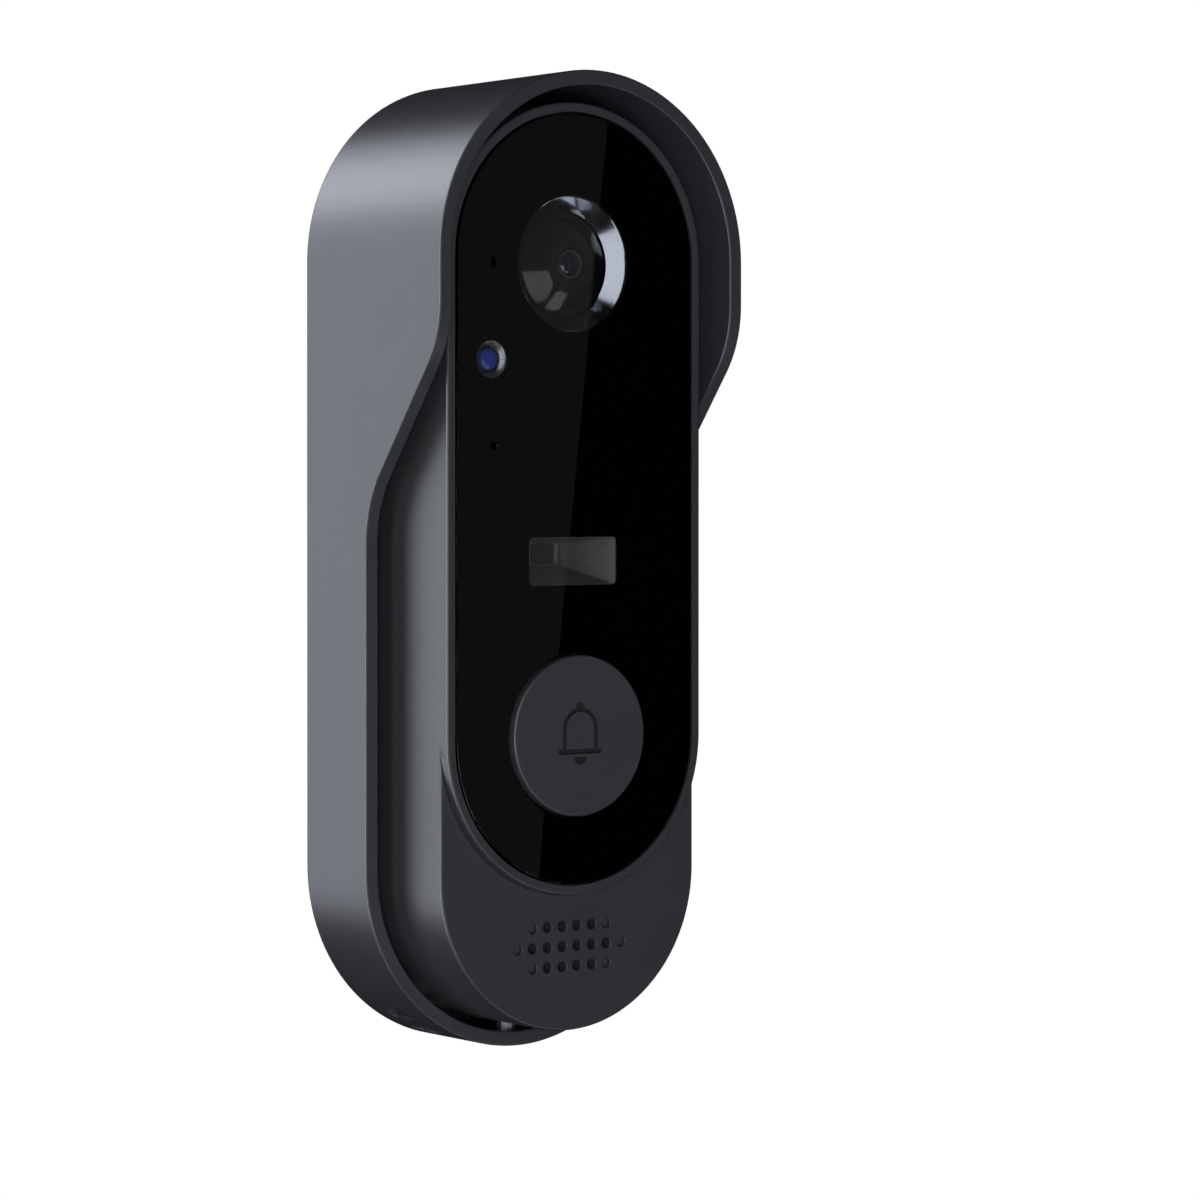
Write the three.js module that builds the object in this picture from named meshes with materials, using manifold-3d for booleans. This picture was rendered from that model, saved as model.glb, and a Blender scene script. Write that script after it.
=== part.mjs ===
// Battery video doorbell standing in a deep rain hood, as an assembly of its separate pieces.
//
// Units are millimetres. X runs across the width, Z is up, and the front faces -Y.
// The wall is the plane y = 0, and "depth" is the distance in front of it, so y = -depth.
// The origin lies on the wall, midway between the two round ends of the hood.

import * as THREE from 'three';
import { mergeVertices } from 'three/addons/utils/BufferGeometryUtils.js';
import Module from 'manifold-3d';

const wasm = await Module();
wasm.setup();

// ---------------------------------------------------------------- driving dimensions

const SEAT = 0.3; // gap between pieces that seat on each other
const THREAD = 0.1; // radial gap between a screw and what it is screwed into
const PIERCE = 1; // how far a cutter runs past the face it cuts

const BODY_RADIUS = 23; // round ends of the doorbell, so it is twice this wide
const STRAIGHT_HALF = 44.8; // from the middle up to the centre of the round top
const BOTTOM_DROP = 0.7; // the doorbell's round bottom sits this much lower than the hood's
const BODY_GAP = 2.2; // air between the doorbell and the hood

const HOOD_WALL = 2.2;
const HOOD_BACK = 2;
const HOOD_SHALLOW_RIM = 16.3; // depth of the hood beside the button
const HOOD_VISOR = 4.6; // how far the hood's top reaches past the glass
const HOOD_BEND_DROP = 11.8; // slope's upper end below the centre of the round top
const HOOD_BEND_LOW_Z = 8.7; // where the sloping edge meets the shallow rim
const HOOD_BEND_RADIUS = 16;

const WALL_SCREW_RADIUS = 2.3; // holes for the owner's screws
const WALL_SCREW_TOP_RISE = 3.2; // above the centre of the hood's round top
const WALL_SCREW_LOW_DROP = 7.2; // below the centre of its round bottom
const WINDOW_WIDTH = 24; // opening in the back of the hood and the bracket
const WINDOW_HEIGHT = 22;
const WINDOW_CORNER = 2.5;

const DRAIN_ANGLES = [-35, -23.5, 23.5, 35]; // degrees from straight down
const DRAIN_WIDTH = 2.6;
const DRAIN_LENGTH = 6.2;
const DRAIN_DEPTH = 7.4; // depth of the middle of each drain slot

const BRACKET_THICK = 1.6;
const BRACKET_MARGIN = 6; // bracket in from the side of the doorbell
const BRACKET_DROP = 0.8; // its round ends in from the hood's
const BRACKET_SCREW_X = 10;
const HOOK_WIDTH = 14;
const HOOK_RISE = 12.4; // underside of the hook's arm above the centre of the round top
const HOOK_LIFT = 2; // how far the body rises to come off the hook
const HOOK_SLACK = 0.5;

const COVER_BACK = 6.1; // depth of the back of the rear cover
const COVER_THICK = 2;
const POCKET_WALL = 1;
const SEAL_THICK = 0.6;
const SEAL_WIDTH = 1;

const BODY_WALL = 2;
const CHIN_DEPTH = 29.15; // flat face round the speaker holes
const RIM_RISE = 1.7; // how far the raised rim round the glass stands above it
const RIM_WIDTH = 1.36;
const RIM_BOTTOM_RISE = 20.1; // rim's lower arc centre above the body's lower arc centre
const FRONT_WALL = 1.75;
const GLASS_THICK = 1.36;
const TAPE_THICK = 0.2;
const TAPE_WIDTH = 1.6;
const TAPE_GAP = 0.05;

const CAMERA_DROP = 0.62; // camera below the centre of the round top
const CAMERA_RING_RADIUS = 10;
const CAMERA_RING_INNER = 7.9;
const CAMERA_RING_SLOPE = 2.2; // depth of the polished cone inside the ring
const CAMERA_RING_FLANGE = 1.5;
const CAMERA_RING_FOOT = 1; // straight tube behind the cone
const CAMERA_RING_LAND = 0.1; // flat lip at the cone's wide end
const DOME_CROWN_RADIUS = 4;
const DOME_CROWN_RISE = 1.85;
const DOME_WALL = 0.9;
const LENS_RADIUS = 2.15;
const LENS_THROAT = 1.75;
const LENS_BODY_RADIUS = 3.6;
const LENS_PROUD = 0.15; // barrel's lip in front of the dome's crown
const LENS_SHOULDER_RISE = 0.2;
const LENS_BACK_RISE = 4.4; // barrel's end in front of the camera board's back
const LENS_SEAT_DEPTH = 1.5; // lens element's seat behind the barrel's lip
const LENS_LEDGE = 0.5;
const LENS_EDGE_THICK = 0.5;
const LENS_BULGE = 0.7;
const HOLDER_WIDTH = 17;
const HOLDER_HEIGHT = 14;
const HOLDER_DEPTH = 5;
const HOLDER_ROOF = 2;
const HOLDER_WALL = 1.2;
const IMAGE_SENSOR_SIZE = [6.4, 5.6, 0.85];
const FILTER_TRAVEL = 5;
const FILTER_LENGTH = 9;
const FILTER_HEIGHT = 7;
const FILTER_THICK = 0.6;
const FILTER_RISE = 1.5; // blade in front of the camera's board
const CAMERA_FLEX_SIZE = [8, 9, 0.3];
const CAMERA_BOARD_DEPTH = 15;
const CAMERA_BOARD_EDGE = 4.5; // board in from the inner walls
const CAMERA_BOARD_HEIGHT = 21;
const CAMERA_BOARD_RISE = 1.32; // its middle above the lens
const CAMERA_BOARD_THICK = 1;
const LED_GAP = 0.55; // infrared lights clear of the lens and of the dome's wall
const LED_THICK = 1;
const LED_BOARD_THICK = 0.8;
const LED_BOARD_INSET = 0.7; // its rim in from the dome's tube
const LED_BOARD_ROOM = 0.6; // its hole round the lens

const SENSOR_EDGE = 8.38; // light sensor's centre in from the side of the body
const SENSOR_DROP = 14.85; // and below the centre of the round top
const SENSOR_RADIUS = 2.75;
const SENSOR_LENS_RADIUS = 1.62;
const SENSOR_PLAY = 0.1; // extra room round the lens
const SENSOR_FLANGE = 0.8;
const SENSOR_FLANGE_THICK = 0.9;
const SENSOR_CONE = 0.8; // depth of the silver cone round the lens
const STATUS_EDGE = 8.1;
const STATUS_DROP = 0.85;
const STATUS_SLOT = [0.8, 1.5];
const STATUS_GUIDE_RADIUS = 1.2;
const MIC_EDGE = 8.2;
const MIC_DROP = 27.4;
const MIC_HOLE_RADIUS = 0.5;
const MIC_SIZE = [3.5, 2.7, 1];
const MIC_BOOT_RADII = [2.1, 0.7];

const PIR_RISE = 26.85; // motion sensor above the centre of the rim's lower arc
const PIR_FUNNEL_FRONT = { halfWidth: 8, low: -4.45, high: 2.65 };
const PIR_FUNNEL_BACK = { halfWidth: 2.95, low: -1.65, high: 1.6 };
const PIR_FUNNEL_LENGTH = 7;
const PIR_FUNNEL_WALL = 0.8;
const PIR_CAN_RADIUS = 4.6;
const PIR_CAN_SOFT = 0.5; // height of its base and of its softened edge
const PIR_BASE_LIP = 0.3;
const PIR_WINDOW = [4.2, 3, 0.3];

const BUTTON_RADIUS = 11.8;
const BUTTON_RISE = 0.96; // top of the cap above the rim
const BUTTON_OFFSET = 0.4; // button above the centre of the rim's lower arc
const BUTTON_GAP = 0.4;
const BUTTON_TRAVEL = 0.5;
const BUTTON_FLANGE = 0.9;
const BUTTON_TOP_THICK = 1.6;
const BUTTON_SKIRT = 1.4;
const BUTTON_EDGE = 0.35;
const BUTTON_STEM_RADIUS = 2.2;
const BUTTON_SEAL_LIP = 0.2;
const BUTTON_SEAL_THICK = 0.7;
const CARRIER_WALL = 1.2;
const SWITCH_SIZE = [6, 3.6]; // width and height
const SWITCH_WELL = 1; // depth of the well its plunger sits in
const PLUNGER_LENGTH = 2;
const PLUNGER_RADIUS = 1.7;

const SPEAKER_DROP = 10.55; // speaker holes below the centre of the body's lower arc
const SPEAKER_RADIUS = 9.7;
const SPEAKER_HOLE_RADIUS = 0.8;
const SPEAKER_PITCH_X = 2.68;
const SPEAKER_PITCH_Z = 2.95;
const SPEAKER_BLIND = 0.8; // depth of the dummy holes that end each row
const SPEAKER_BOWL = 5; // depth of the frame behind its front
const SPEAKER_RIM = 1.2;
const MESH_THICK = 0.3;
const GASKET_THICK = 0.8;
const MAGNET_RADIUS = 6;
const MAGNET_THICK = 1.8;
const CONE_CAP_RADIUS = 3.6;

const BOARD_DEPTH = 16.1;
const BOARD_THICK = 1.2;
const BOARD_EDGE = 2; // main board in from the inner wall
const BOARD_CORNER = 2; // corner radius of the small boards
const POST_RADIUS = 2.3;
const POST_EDGE = 2.5; // main board's posts in from its edge
const POST_DROP = 4;
const STAKE_POST_RADIUS = 1.7; // posts whose pins are melted over to hold the small boards
const STAKE_PIN_RADIUS = 0.8;
const STAKE_PIN_LENGTH = 1.3;
const SCREW_RADIUS = 1; // small self-tapping screws
const SCREW_HEAD_RADIUS = 2;
const BOSS_RADIUS = 2.6;
const BOSS_DEPTH = 14.6;
const BOSS_BITE = 0.9; // how far a boss runs into the wall

const BATTERY_EDGE = 4; // battery in from the inner walls
const BATTERY_TOP_RISE = 8.6; // battery's top above the centre of the round top
const BATTERY_BOTTOM_RISE = 19.4; // battery's bottom above the centre of the rim's lower arc
const BATTERY_BACK = 8.6;
const BATTERY_FRONT = 14.5;
const BATTERY_CORNER = 2;
const BATTERY_PLUG_SIZE = [6, 4, 2.8];
const BATTERY_PLUG_OFFSET = [12, 4]; // across, and down from the battery's bottom

const PROCESSOR_SIZE = [6.5, 1.2]; // side and thickness
const RADIO_SIZE = [12, 2.2];
const ANTENNA_SIZE = [0.4, 34]; // thickness and length
const CHIPS_DROP = 2; // chips below the middle of the light sensor and the microphone
const CHIPS_ROOM = 1.3; // between the motion sensor's can and the chips

const CHARGE_BOARD_DEPTH = 13;
const CHARGE_BOARD_THICK = 1;
const CHARGE_BOARD_SIZE = [22, 21];
const CHARGE_POST_EDGE = 2.4;
const USB_RISE = 3; // charging socket above the button's centre
const USB_SHELL = [9, 3.2, 0.35];
const USB_COVER_SIZE = [13.4, 7.4, 0.9];
const USB_PLUG_SIZE = [7.2, 1.8, 1.3];
const USB_RECESS = 1.2;
const RESET_OFFSET = [3.6, -6.2]; // reset button from the middle of the charging board
const RESET_RADIUS = 1.6;
const RESET_TRAVEL = 0.4;
const RESET_FLANGE = 0.8;
const RESET_STEM = 2.2; // stem's end in front of the flange's back
const RESET_STEM_RADIUS = 1;
const RESET_SWITCH = 4;

const SECURITY_RADIUS = 1.5;
const SECURITY_HEAD_RADIUS = 2.9;
const SECURITY_DEPTH = 12.9;
const SECURITY_LENGTH = 8;
const INSERT_RADIUS = 2.4;
const INSERT_LENGTH = 5;

// ---------------------------------------------------------------- derived places

const HOOD_RADIUS = BODY_RADIUS + BODY_GAP + HOOD_WALL;
const RIM_DEPTH = CHIN_DEPTH + RIM_RISE;
const HOOD_DEEP_RIM = RIM_DEPTH + HOOD_VISOR;
const TOP_Z = STRAIGHT_HALF;
const BOTTOM_Z = -(STRAIGHT_HALF + BOTTOM_DROP);
const CAMERA_Z = TOP_Z - CAMERA_DROP;
const RIM_BOTTOM_Z = BOTTOM_Z + RIM_BOTTOM_RISE;
const BUTTON_Z = RIM_BOTTOM_Z + BUTTON_OFFSET;
const PIR_Z = RIM_BOTTOM_Z + PIR_RISE;
const SPEAKER_Z = BOTTOM_Z - SPEAKER_DROP;
const WINDOW_Z = BUTTON_Z;
const INNER_RADIUS = BODY_RADIUS - BODY_WALL;
const DECK_BACK = CHIN_DEPTH - FRONT_WALL; // inner face of the front wall
const BRACKET_BACK = HOOD_BACK + SEAT;
const BRACKET_FRONT = BRACKET_BACK + BRACKET_THICK;
const BRACKET_RADIUS = BODY_RADIUS - BRACKET_MARGIN;
const BRACKET_ARC_Z = TOP_Z - BRACKET_DROP;
const BRACKET_SCREWS = [[-BRACKET_SCREW_X, TOP_Z / 2], [BRACKET_SCREW_X, -BRACKET_ARC_Z]];
const HOOK_Z = TOP_Z + HOOK_RISE;
const WALL_SCREW_TOP_Z = TOP_Z + WALL_SCREW_TOP_RISE;
const WALL_SCREW_LOW_Z = -TOP_Z - WALL_SCREW_LOW_DROP;
const HOOD_BEND_TOP_Z = TOP_Z - HOOD_BEND_DROP;
const COVER_FRONT = COVER_BACK + COVER_THICK;
const SEAL_BACK = COVER_FRONT + TAPE_GAP;
const WALL_START = SEAL_BACK + SEAL_THICK + TAPE_GAP;
const GLASS_BACK = RIM_DEPTH - GLASS_THICK;
const DECK_FRONT = GLASS_BACK - TAPE_THICK - 2 * TAPE_GAP;
const GLASS_RADIUS = BODY_RADIUS - RIM_WIDTH - SEAT;
const BOARD_FRONT = BOARD_DEPTH + BOARD_THICK;
const BOARD_TOP_Z = TOP_Z - 11.8;
const BOARD_BOTTOM_Z = RIM_BOTTOM_Z - 18.6;
const BOARD_HALF_WIDTH = INNER_RADIUS - BOARD_EDGE;
const LED_ROOM = CAMERA_RING_INNER - SEAT - DOME_WALL - LENS_BODY_RADIUS;
const LED_SIZE = LED_ROOM - 2 * LED_GAP;
const LED_CIRCLE_RADIUS = LENS_BODY_RADIUS + LED_ROOM / 2;
const SENSOR_X = -(BODY_RADIUS - SENSOR_EDGE);
const SENSOR_Z = TOP_Z - SENSOR_DROP;
const STATUS_X = -(BODY_RADIUS - STATUS_EDGE);
const STATUS_Z = TOP_Z - STATUS_DROP;
const MIC_X = -(BODY_RADIUS - MIC_EDGE);
const MIC_Z = TOP_Z - MIC_DROP;
const BUTTON_TOP = RIM_DEPTH + BUTTON_RISE;
const BUTTON_FLANGE_FRONT = DECK_BACK - SEAT;
const BUTTON_FLANGE_BACK = BUTTON_FLANGE_FRONT - BUTTON_FLANGE;
const BUTTON_FLANGE_RADIUS = BUTTON_RADIUS + 1.2;
const SEAL_TOP = BUTTON_FLANGE_BACK - BUTTON_TRAVEL - SEAT;
const SWITCH_TOP = BOARD_FRONT + SWITCH_SIZE[1];
const PLUNGER_TOP = SWITCH_TOP + PLUNGER_LENGTH;
const USB_Z = BUTTON_Z + USB_RISE;

/** Centres of the four bosses that take the rear cover's screws, on the round ends. */
const BOSS_PLACES = [[1, 42.5, TOP_Z], [-1, 42.5, TOP_Z], [1, -20, BOTTOM_Z], [-1, -20, BOTTOM_Z]].map(
  ([side, degrees, arcZ]) => {
    const reach = INNER_RADIUS - BOSS_RADIUS + BOSS_BITE;
    const angle = THREE.MathUtils.degToRad(degrees);
    return [side * reach * Math.cos(angle), arcZ + reach * Math.sin(angle)];
  },
);

const CAMERA_BOARD_Z = CAMERA_Z + CAMERA_BOARD_RISE;
const CAMERA_BOARD_HALF = INNER_RADIUS - CAMERA_BOARD_EDGE;

/** The four corners of a rectangle about x = 0, from its half width and its lowest and highest z. */
const corners = (halfWidth, low, high) =>
  [-1, 1].flatMap((side) => [low, high].map((z) => [side * halfWidth, z]));

/** Centres of the pins that hold the camera's board and the charging board. */
const CAMERA_STAKES = corners(CAMERA_BOARD_HALF - 4, CAMERA_BOARD_Z - 8.5, CAMERA_BOARD_Z + 8.5);
const CHARGE_STAKES = corners(
  CHARGE_BOARD_SIZE[0] / 2 - CHARGE_POST_EDGE,
  BUTTON_Z - CHARGE_BOARD_SIZE[1] / 2 + CHARGE_POST_EDGE,
  BUTTON_Z + CHARGE_BOARD_SIZE[1] / 2 - CHARGE_POST_EDGE,
);

/** Centres of the four posts that carry the main board. */
const POST_PLACES = [
  [BOARD_HALF_WIDTH - POST_EDGE, PIR_Z - POST_DROP],
  [-(BOARD_HALF_WIDTH - POST_EDGE), PIR_Z - POST_DROP],
  [BOARD_HALF_WIDTH - POST_EDGE, BOARD_BOTTOM_Z + POST_DROP],
  [-(BOARD_HALF_WIDTH - POST_EDGE), BOARD_BOTTOM_Z + POST_DROP],
];

// ---------------------------------------------------------------- finishes

const finish = (color, roughness, metalness = 0) =>
  new THREE.MeshStandardMaterial({ color, roughness, metalness });

const FINISH = {
  shell: finish(0x3b3d42, 0.45),
  inner: finish(0x1b1c1e, 0.7),
  glass: finish(0x0a0a0b, 0.05),
  chrome: finish(0xb8bcc6, 0.2, 1),
  steel: finish(0x9a9da1, 0.35, 1),
  brass: finish(0xb08d4a, 0.35, 1),
  black: finish(0x111214, 0.3),
  rubber: finish(0x17181a, 0.9),
  board: finish(0x1c5a3a, 0.5),
  lensBlue: finish(0x18307a, 0.15),
  clear: finish(0xdfe3e8, 0.1),
  cell: finish(0x2d6f9e, 0.5),
  cone: finish(0x2a2a2c, 0.7),
  foil: finish(0xc99f5a, 0.4),
};

// ---------------------------------------------------------------- shape helpers

const ARC_STEPS = 14; // straight facets in a half circle of a stadium
const CORNER_STEPS = 4;

/** Facets in a full circle of this radius. */
function facets(radius) {
  if (radius > 9) return 32;
  return radius > 3 ? 18 : 12;
}

/** Turns a closed geometry so that its faces point out, with shared corners merged. */
function closed(geometry) {
  const bare = new THREE.BufferGeometry();
  bare.setAttribute('position', geometry.getAttribute('position').clone());
  if (geometry.index) bare.setIndex(geometry.index.clone());
  const merged = mergeVertices(bare, 1e-4);
  const place = merged.getAttribute('position');
  const index = merged.index.array;
  const kept = [];
  let volume = 0;
  const [a, b, c] = [new THREE.Vector3(), new THREE.Vector3(), new THREE.Vector3()];
  for (let i = 0; i < index.length; i += 3) {
    const [p, q, r] = [index[i], index[i + 1], index[i + 2]];
    if (p !== q && q !== r && r !== p) {
      kept.push(p, q, r);
      a.fromBufferAttribute(place, p);
      b.fromBufferAttribute(place, q);
      c.fromBufferAttribute(place, r);
      volume += a.dot(b.cross(c));
    }
  }
  merged.setIndex(volume < 0 ? kept.reverse() : kept);
  return merged;
}

/** A manifold solid made from a closed geometry. */
function solid(geometry) {
  const shell = closed(geometry);
  const vertProperties = new Float32Array(shell.getAttribute('position').array);
  const triVerts = new Uint32Array(shell.index.array);
  return new wasm.Manifold(new wasm.Mesh({ numProp: 3, vertProperties, triVerts }));
}

/** The first geometry joined with all in added and cut by all in removed. */
function carve(base, added, removed) {
  let result = solid(base);
  for (const piece of added) result = result.add(solid(piece));
  for (const piece of removed) result = result.subtract(solid(piece));
  const { numProp, vertProperties, triVerts } = result.getMesh();
  const corners = new Float32Array((vertProperties.length / numProp) * 3);
  for (let i = 0; i < corners.length / 3; i += 1) {
    for (let k = 0; k < 3; k += 1) corners[i * 3 + k] = vertProperties[i * numProp + k];
  }
  const geometry = new THREE.BufferGeometry();
  geometry.setAttribute('position', new THREE.BufferAttribute(corners, 3));
  geometry.setIndex(Array.from(triVerts));
  return geometry;
}

/** An upright outline with round ends, centred on x = 0. */
function stadium(radius, topZ, bottomZ) {
  const shape = new THREE.Shape();
  shape.absarc(0, topZ, radius, 0, Math.PI, false);
  shape.absarc(0, bottomZ, radius, Math.PI, 2 * Math.PI, false);
  shape.closePath();
  return shape;
}

/** A stadium with a stadium-shaped hole, so a ring of the given width. */
function stadiumRing(radius, topZ, bottomZ, width) {
  const shape = stadium(radius, topZ, bottomZ);
  shape.holes.push(stadium(radius - width, topZ, bottomZ));
  return shape;
}

/** A closed or open run of points whose inner corners are replaced by arcs. */
function rounded(points, radius, isClosed = true) {
  const result = [];
  points.forEach((corner, i) => {
    const isEnd = !isClosed && (i === 0 || i === points.length - 1);
    if (isEnd || radius === 0) {
      result.push(corner);
      return;
    }
    const before = points[(i + points.length - 1) % points.length].clone().sub(corner).normalize();
    const after = points[(i + 1) % points.length].clone().sub(corner).normalize();
    const half = Math.acos(THREE.MathUtils.clamp(before.dot(after), -1, 1)) / 2;
    const middle = before.clone().add(after).normalize();
    const centre = corner.clone().addScaledVector(middle, radius / Math.sin(half));
    const start = corner.clone().addScaledVector(before, radius / Math.tan(half)).sub(centre);
    const sweep = Math.PI - 2 * half;
    const turn = before.cross(after) > 0 ? -1 : 1;
    for (let step = 0; step <= CORNER_STEPS; step += 1) {
      const angle = (turn * sweep * step) / CORNER_STEPS;
      result.push(start.clone().rotateAround(new THREE.Vector2(), angle).add(centre));
    }
  });
  return result;
}

/** A rectangle with rounded corners, given by its centre and size. */
function plate(x, z, width, height, corner = 0) {
  const [w, h] = [width / 2, height / 2];
  const corners = [[-w, -h], [w, -h], [w, h], [-w, h]].map(([u, v]) => new THREE.Vector2(x + u, z + v));
  return new THREE.Shape(rounded(corners, corner));
}

/** A flat outline in X and Z, extruded between two depths. */
function slab(shape, fromDepth, toDepth) {
  const geometry = new THREE.ExtrudeGeometry(shape, {
    depth: toDepth - fromDepth,
    bevelEnabled: false,
    curveSegments: ARC_STEPS,
  });
  geometry.translate(0, 0, fromDepth);
  geometry.rotateX(Math.PI / 2);
  return geometry;
}

/** A box between two depths, given by its centre and size in X and Z. */
function block(x, z, width, height, fromDepth, toDepth) {
  const geometry = new THREE.BoxGeometry(width, toDepth - fromDepth, height);
  geometry.translate(x, -(fromDepth + toDepth) / 2, z);
  return geometry;
}

/** A profile of [radius, depth] points turned round a front-to-back axis at x, z. */
function turned(x, z, profile) {
  const outline = profile.map(([radius, depth]) => new THREE.Vector2(radius, depth));
  const widest = Math.max(...profile.map(([radius]) => radius));
  const geometry = new THREE.LatheGeometry([...outline, outline[0]], facets(widest));
  geometry.rotateZ(Math.PI);
  geometry.translate(x, 0, z);
  return geometry;
}

/** A plain rod along the depth. */
function rod(x, z, radius, fromDepth, toDepth) {
  return turned(x, z, [[0, fromDepth], [radius, fromDepth], [radius, toDepth], [0, toDepth]]);
}

/** A plain tube along the depth. */
function tube(x, z, outer, inner, fromDepth, toDepth) {
  return turned(x, z, [[inner, fromDepth], [outer, fromDepth], [outer, toDepth], [inner, toDepth]]);
}

/** A profile of [radius, z] points turned round an upright axis at x = 0 and the given depth. */
function turnedUpright(depth, profile) {
  const outline = profile.map(([radius, z]) => new THREE.Vector2(radius, z));
  const widest = Math.max(...profile.map(([radius]) => radius));
  const geometry = new THREE.LatheGeometry([...outline, outline[0]], facets(widest));
  geometry.rotateX(Math.PI / 2);
  geometry.translate(0, -depth, 0);
  return geometry;
}

/** A pan-head screw pushed in from behind, with its head's top at headBack. */
function rearScrew(x, z, headBack, headThick, tip) {
  const seat = headBack + headThick;
  const edge = SCREW_HEAD_RADIUS * 0.75;
  return turned(x, z, [
    [0, headBack],
    [edge, headBack],
    [SCREW_HEAD_RADIUS, headBack + headThick * 0.4],
    [SCREW_HEAD_RADIUS, seat],
    [SCREW_RADIUS, seat],
    [SCREW_RADIUS, tip - SCREW_RADIUS],
    [0, tip],
  ]);
}

const model = new THREE.Group();

/** Adds one named piece to the model. */
function add(name, geometry, material) {
  const shell = closed(geometry);
  shell.computeVertexNormals();
  const mesh = new THREE.Mesh(shell, material);
  mesh.name = name;
  model.add(mesh);
}

// ---------------------------------------------------------------- rain hood and bracket

/** Everything in front of the hood's rim, which slopes from the deep visor to the shallow sides. */
function hoodRimCutter() {
  const far = HOOD_DEEP_RIM + PIERCE;
  const bend = [
    new THREE.Vector2(HOOD_DEEP_RIM, HOOD_RADIUS + TOP_Z + PIERCE),
    new THREE.Vector2(HOOD_DEEP_RIM, HOOD_BEND_TOP_Z),
    new THREE.Vector2(HOOD_SHALLOW_RIM, HOOD_BEND_LOW_Z),
    new THREE.Vector2(HOOD_SHALLOW_RIM, -(HOOD_RADIUS + TOP_Z + PIERCE)),
  ];
  const edge = rounded(bend, HOOD_BEND_RADIUS, false);
  const outline = [...edge, new THREE.Vector2(far, edge.at(-1).y), new THREE.Vector2(far, edge[0].y)];
  const width = 2 * (HOOD_RADIUS + PIERCE);
  const shape = new THREE.Shape(outline);
  const geometry = new THREE.ExtrudeGeometry(shape, { depth: width, bevelEnabled: false });
  const sideways = new THREE.Matrix4().set(0, 0, 1, -width / 2, -1, 0, 0, 0, 0, 1, 0, 0, 0, 0, 0, 1);
  return geometry.applyMatrix4(sideways);
}

/** A drain slot's cutter, pointing out from the hood's lower arc at an angle from straight down. */
function drainCutter(degrees) {
  const half = DRAIN_LENGTH / 2 - DRAIN_WIDTH / 2;
  const shape = stadium(DRAIN_WIDTH / 2, half - DRAIN_DEPTH, -half - DRAIN_DEPTH);
  const reach = HOOD_WALL + 2 * PIERCE;
  const geometry = new THREE.ExtrudeGeometry(shape, { depth: reach, bevelEnabled: false, curveSegments: 6 });
  geometry.translate(0, 0, -(HOOD_RADIUS + PIERCE));
  geometry.rotateY(THREE.MathUtils.degToRad(degrees));
  geometry.translate(0, 0, -TOP_Z);
  return geometry;
}

/** Countersunk hole for the security screw, up through the lowest point of the hood. */
function securityHole() {
  const bottom = -(TOP_Z + HOOD_RADIUS);
  const wide = SECURITY_HEAD_RADIUS + SEAT;
  const narrow = SECURITY_RADIUS + SEAT;
  return turnedUpright(SECURITY_DEPTH, [
    [0, bottom - PIERCE],
    [wide, bottom - PIERCE],
    [wide, bottom + 0.4],
    [narrow, bottom + 0.4 + wide - narrow],
    [narrow, bottom + HOOD_WALL + PIERCE],
    [0, bottom + HOOD_WALL + PIERCE],
  ]);
}

/** The opening behind the charging socket, through the hood's back or the bracket. */
function rearWindow(fromDepth, toDepth) {
  return slab(plate(0, WINDOW_Z, WINDOW_WIDTH, WINDOW_HEIGHT, WINDOW_CORNER), fromDepth, toDepth);
}

function buildRainHood() {
  const outer = slab(stadium(HOOD_RADIUS, TOP_Z, -TOP_Z), 0, HOOD_DEEP_RIM);
  const hollow = slab(
    stadium(HOOD_RADIUS - HOOD_WALL, TOP_Z, -TOP_Z),
    HOOD_BACK,
    HOOD_DEEP_RIM + PIERCE,
  );
  const cutters = [
    hollow,
    hoodRimCutter(),
    rearWindow(-PIERCE, HOOD_BACK + PIERCE),
    rod(0, WALL_SCREW_TOP_Z, WALL_SCREW_RADIUS, -PIERCE, HOOD_BACK + PIERCE),
    rod(0, WALL_SCREW_LOW_Z, WALL_SCREW_RADIUS, -PIERCE, HOOD_BACK + PIERCE),
    securityHole(),
    ...DRAIN_ANGLES.map(drainCutter),
    ...BRACKET_SCREWS.map(([x, z]) => rod(x, z, SCREW_RADIUS + THREAD, 0.5, HOOD_BACK + PIERCE)),
  ];
  add('rain_hood', carve(outer, [], cutters), FINISH.shell);
}

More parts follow.
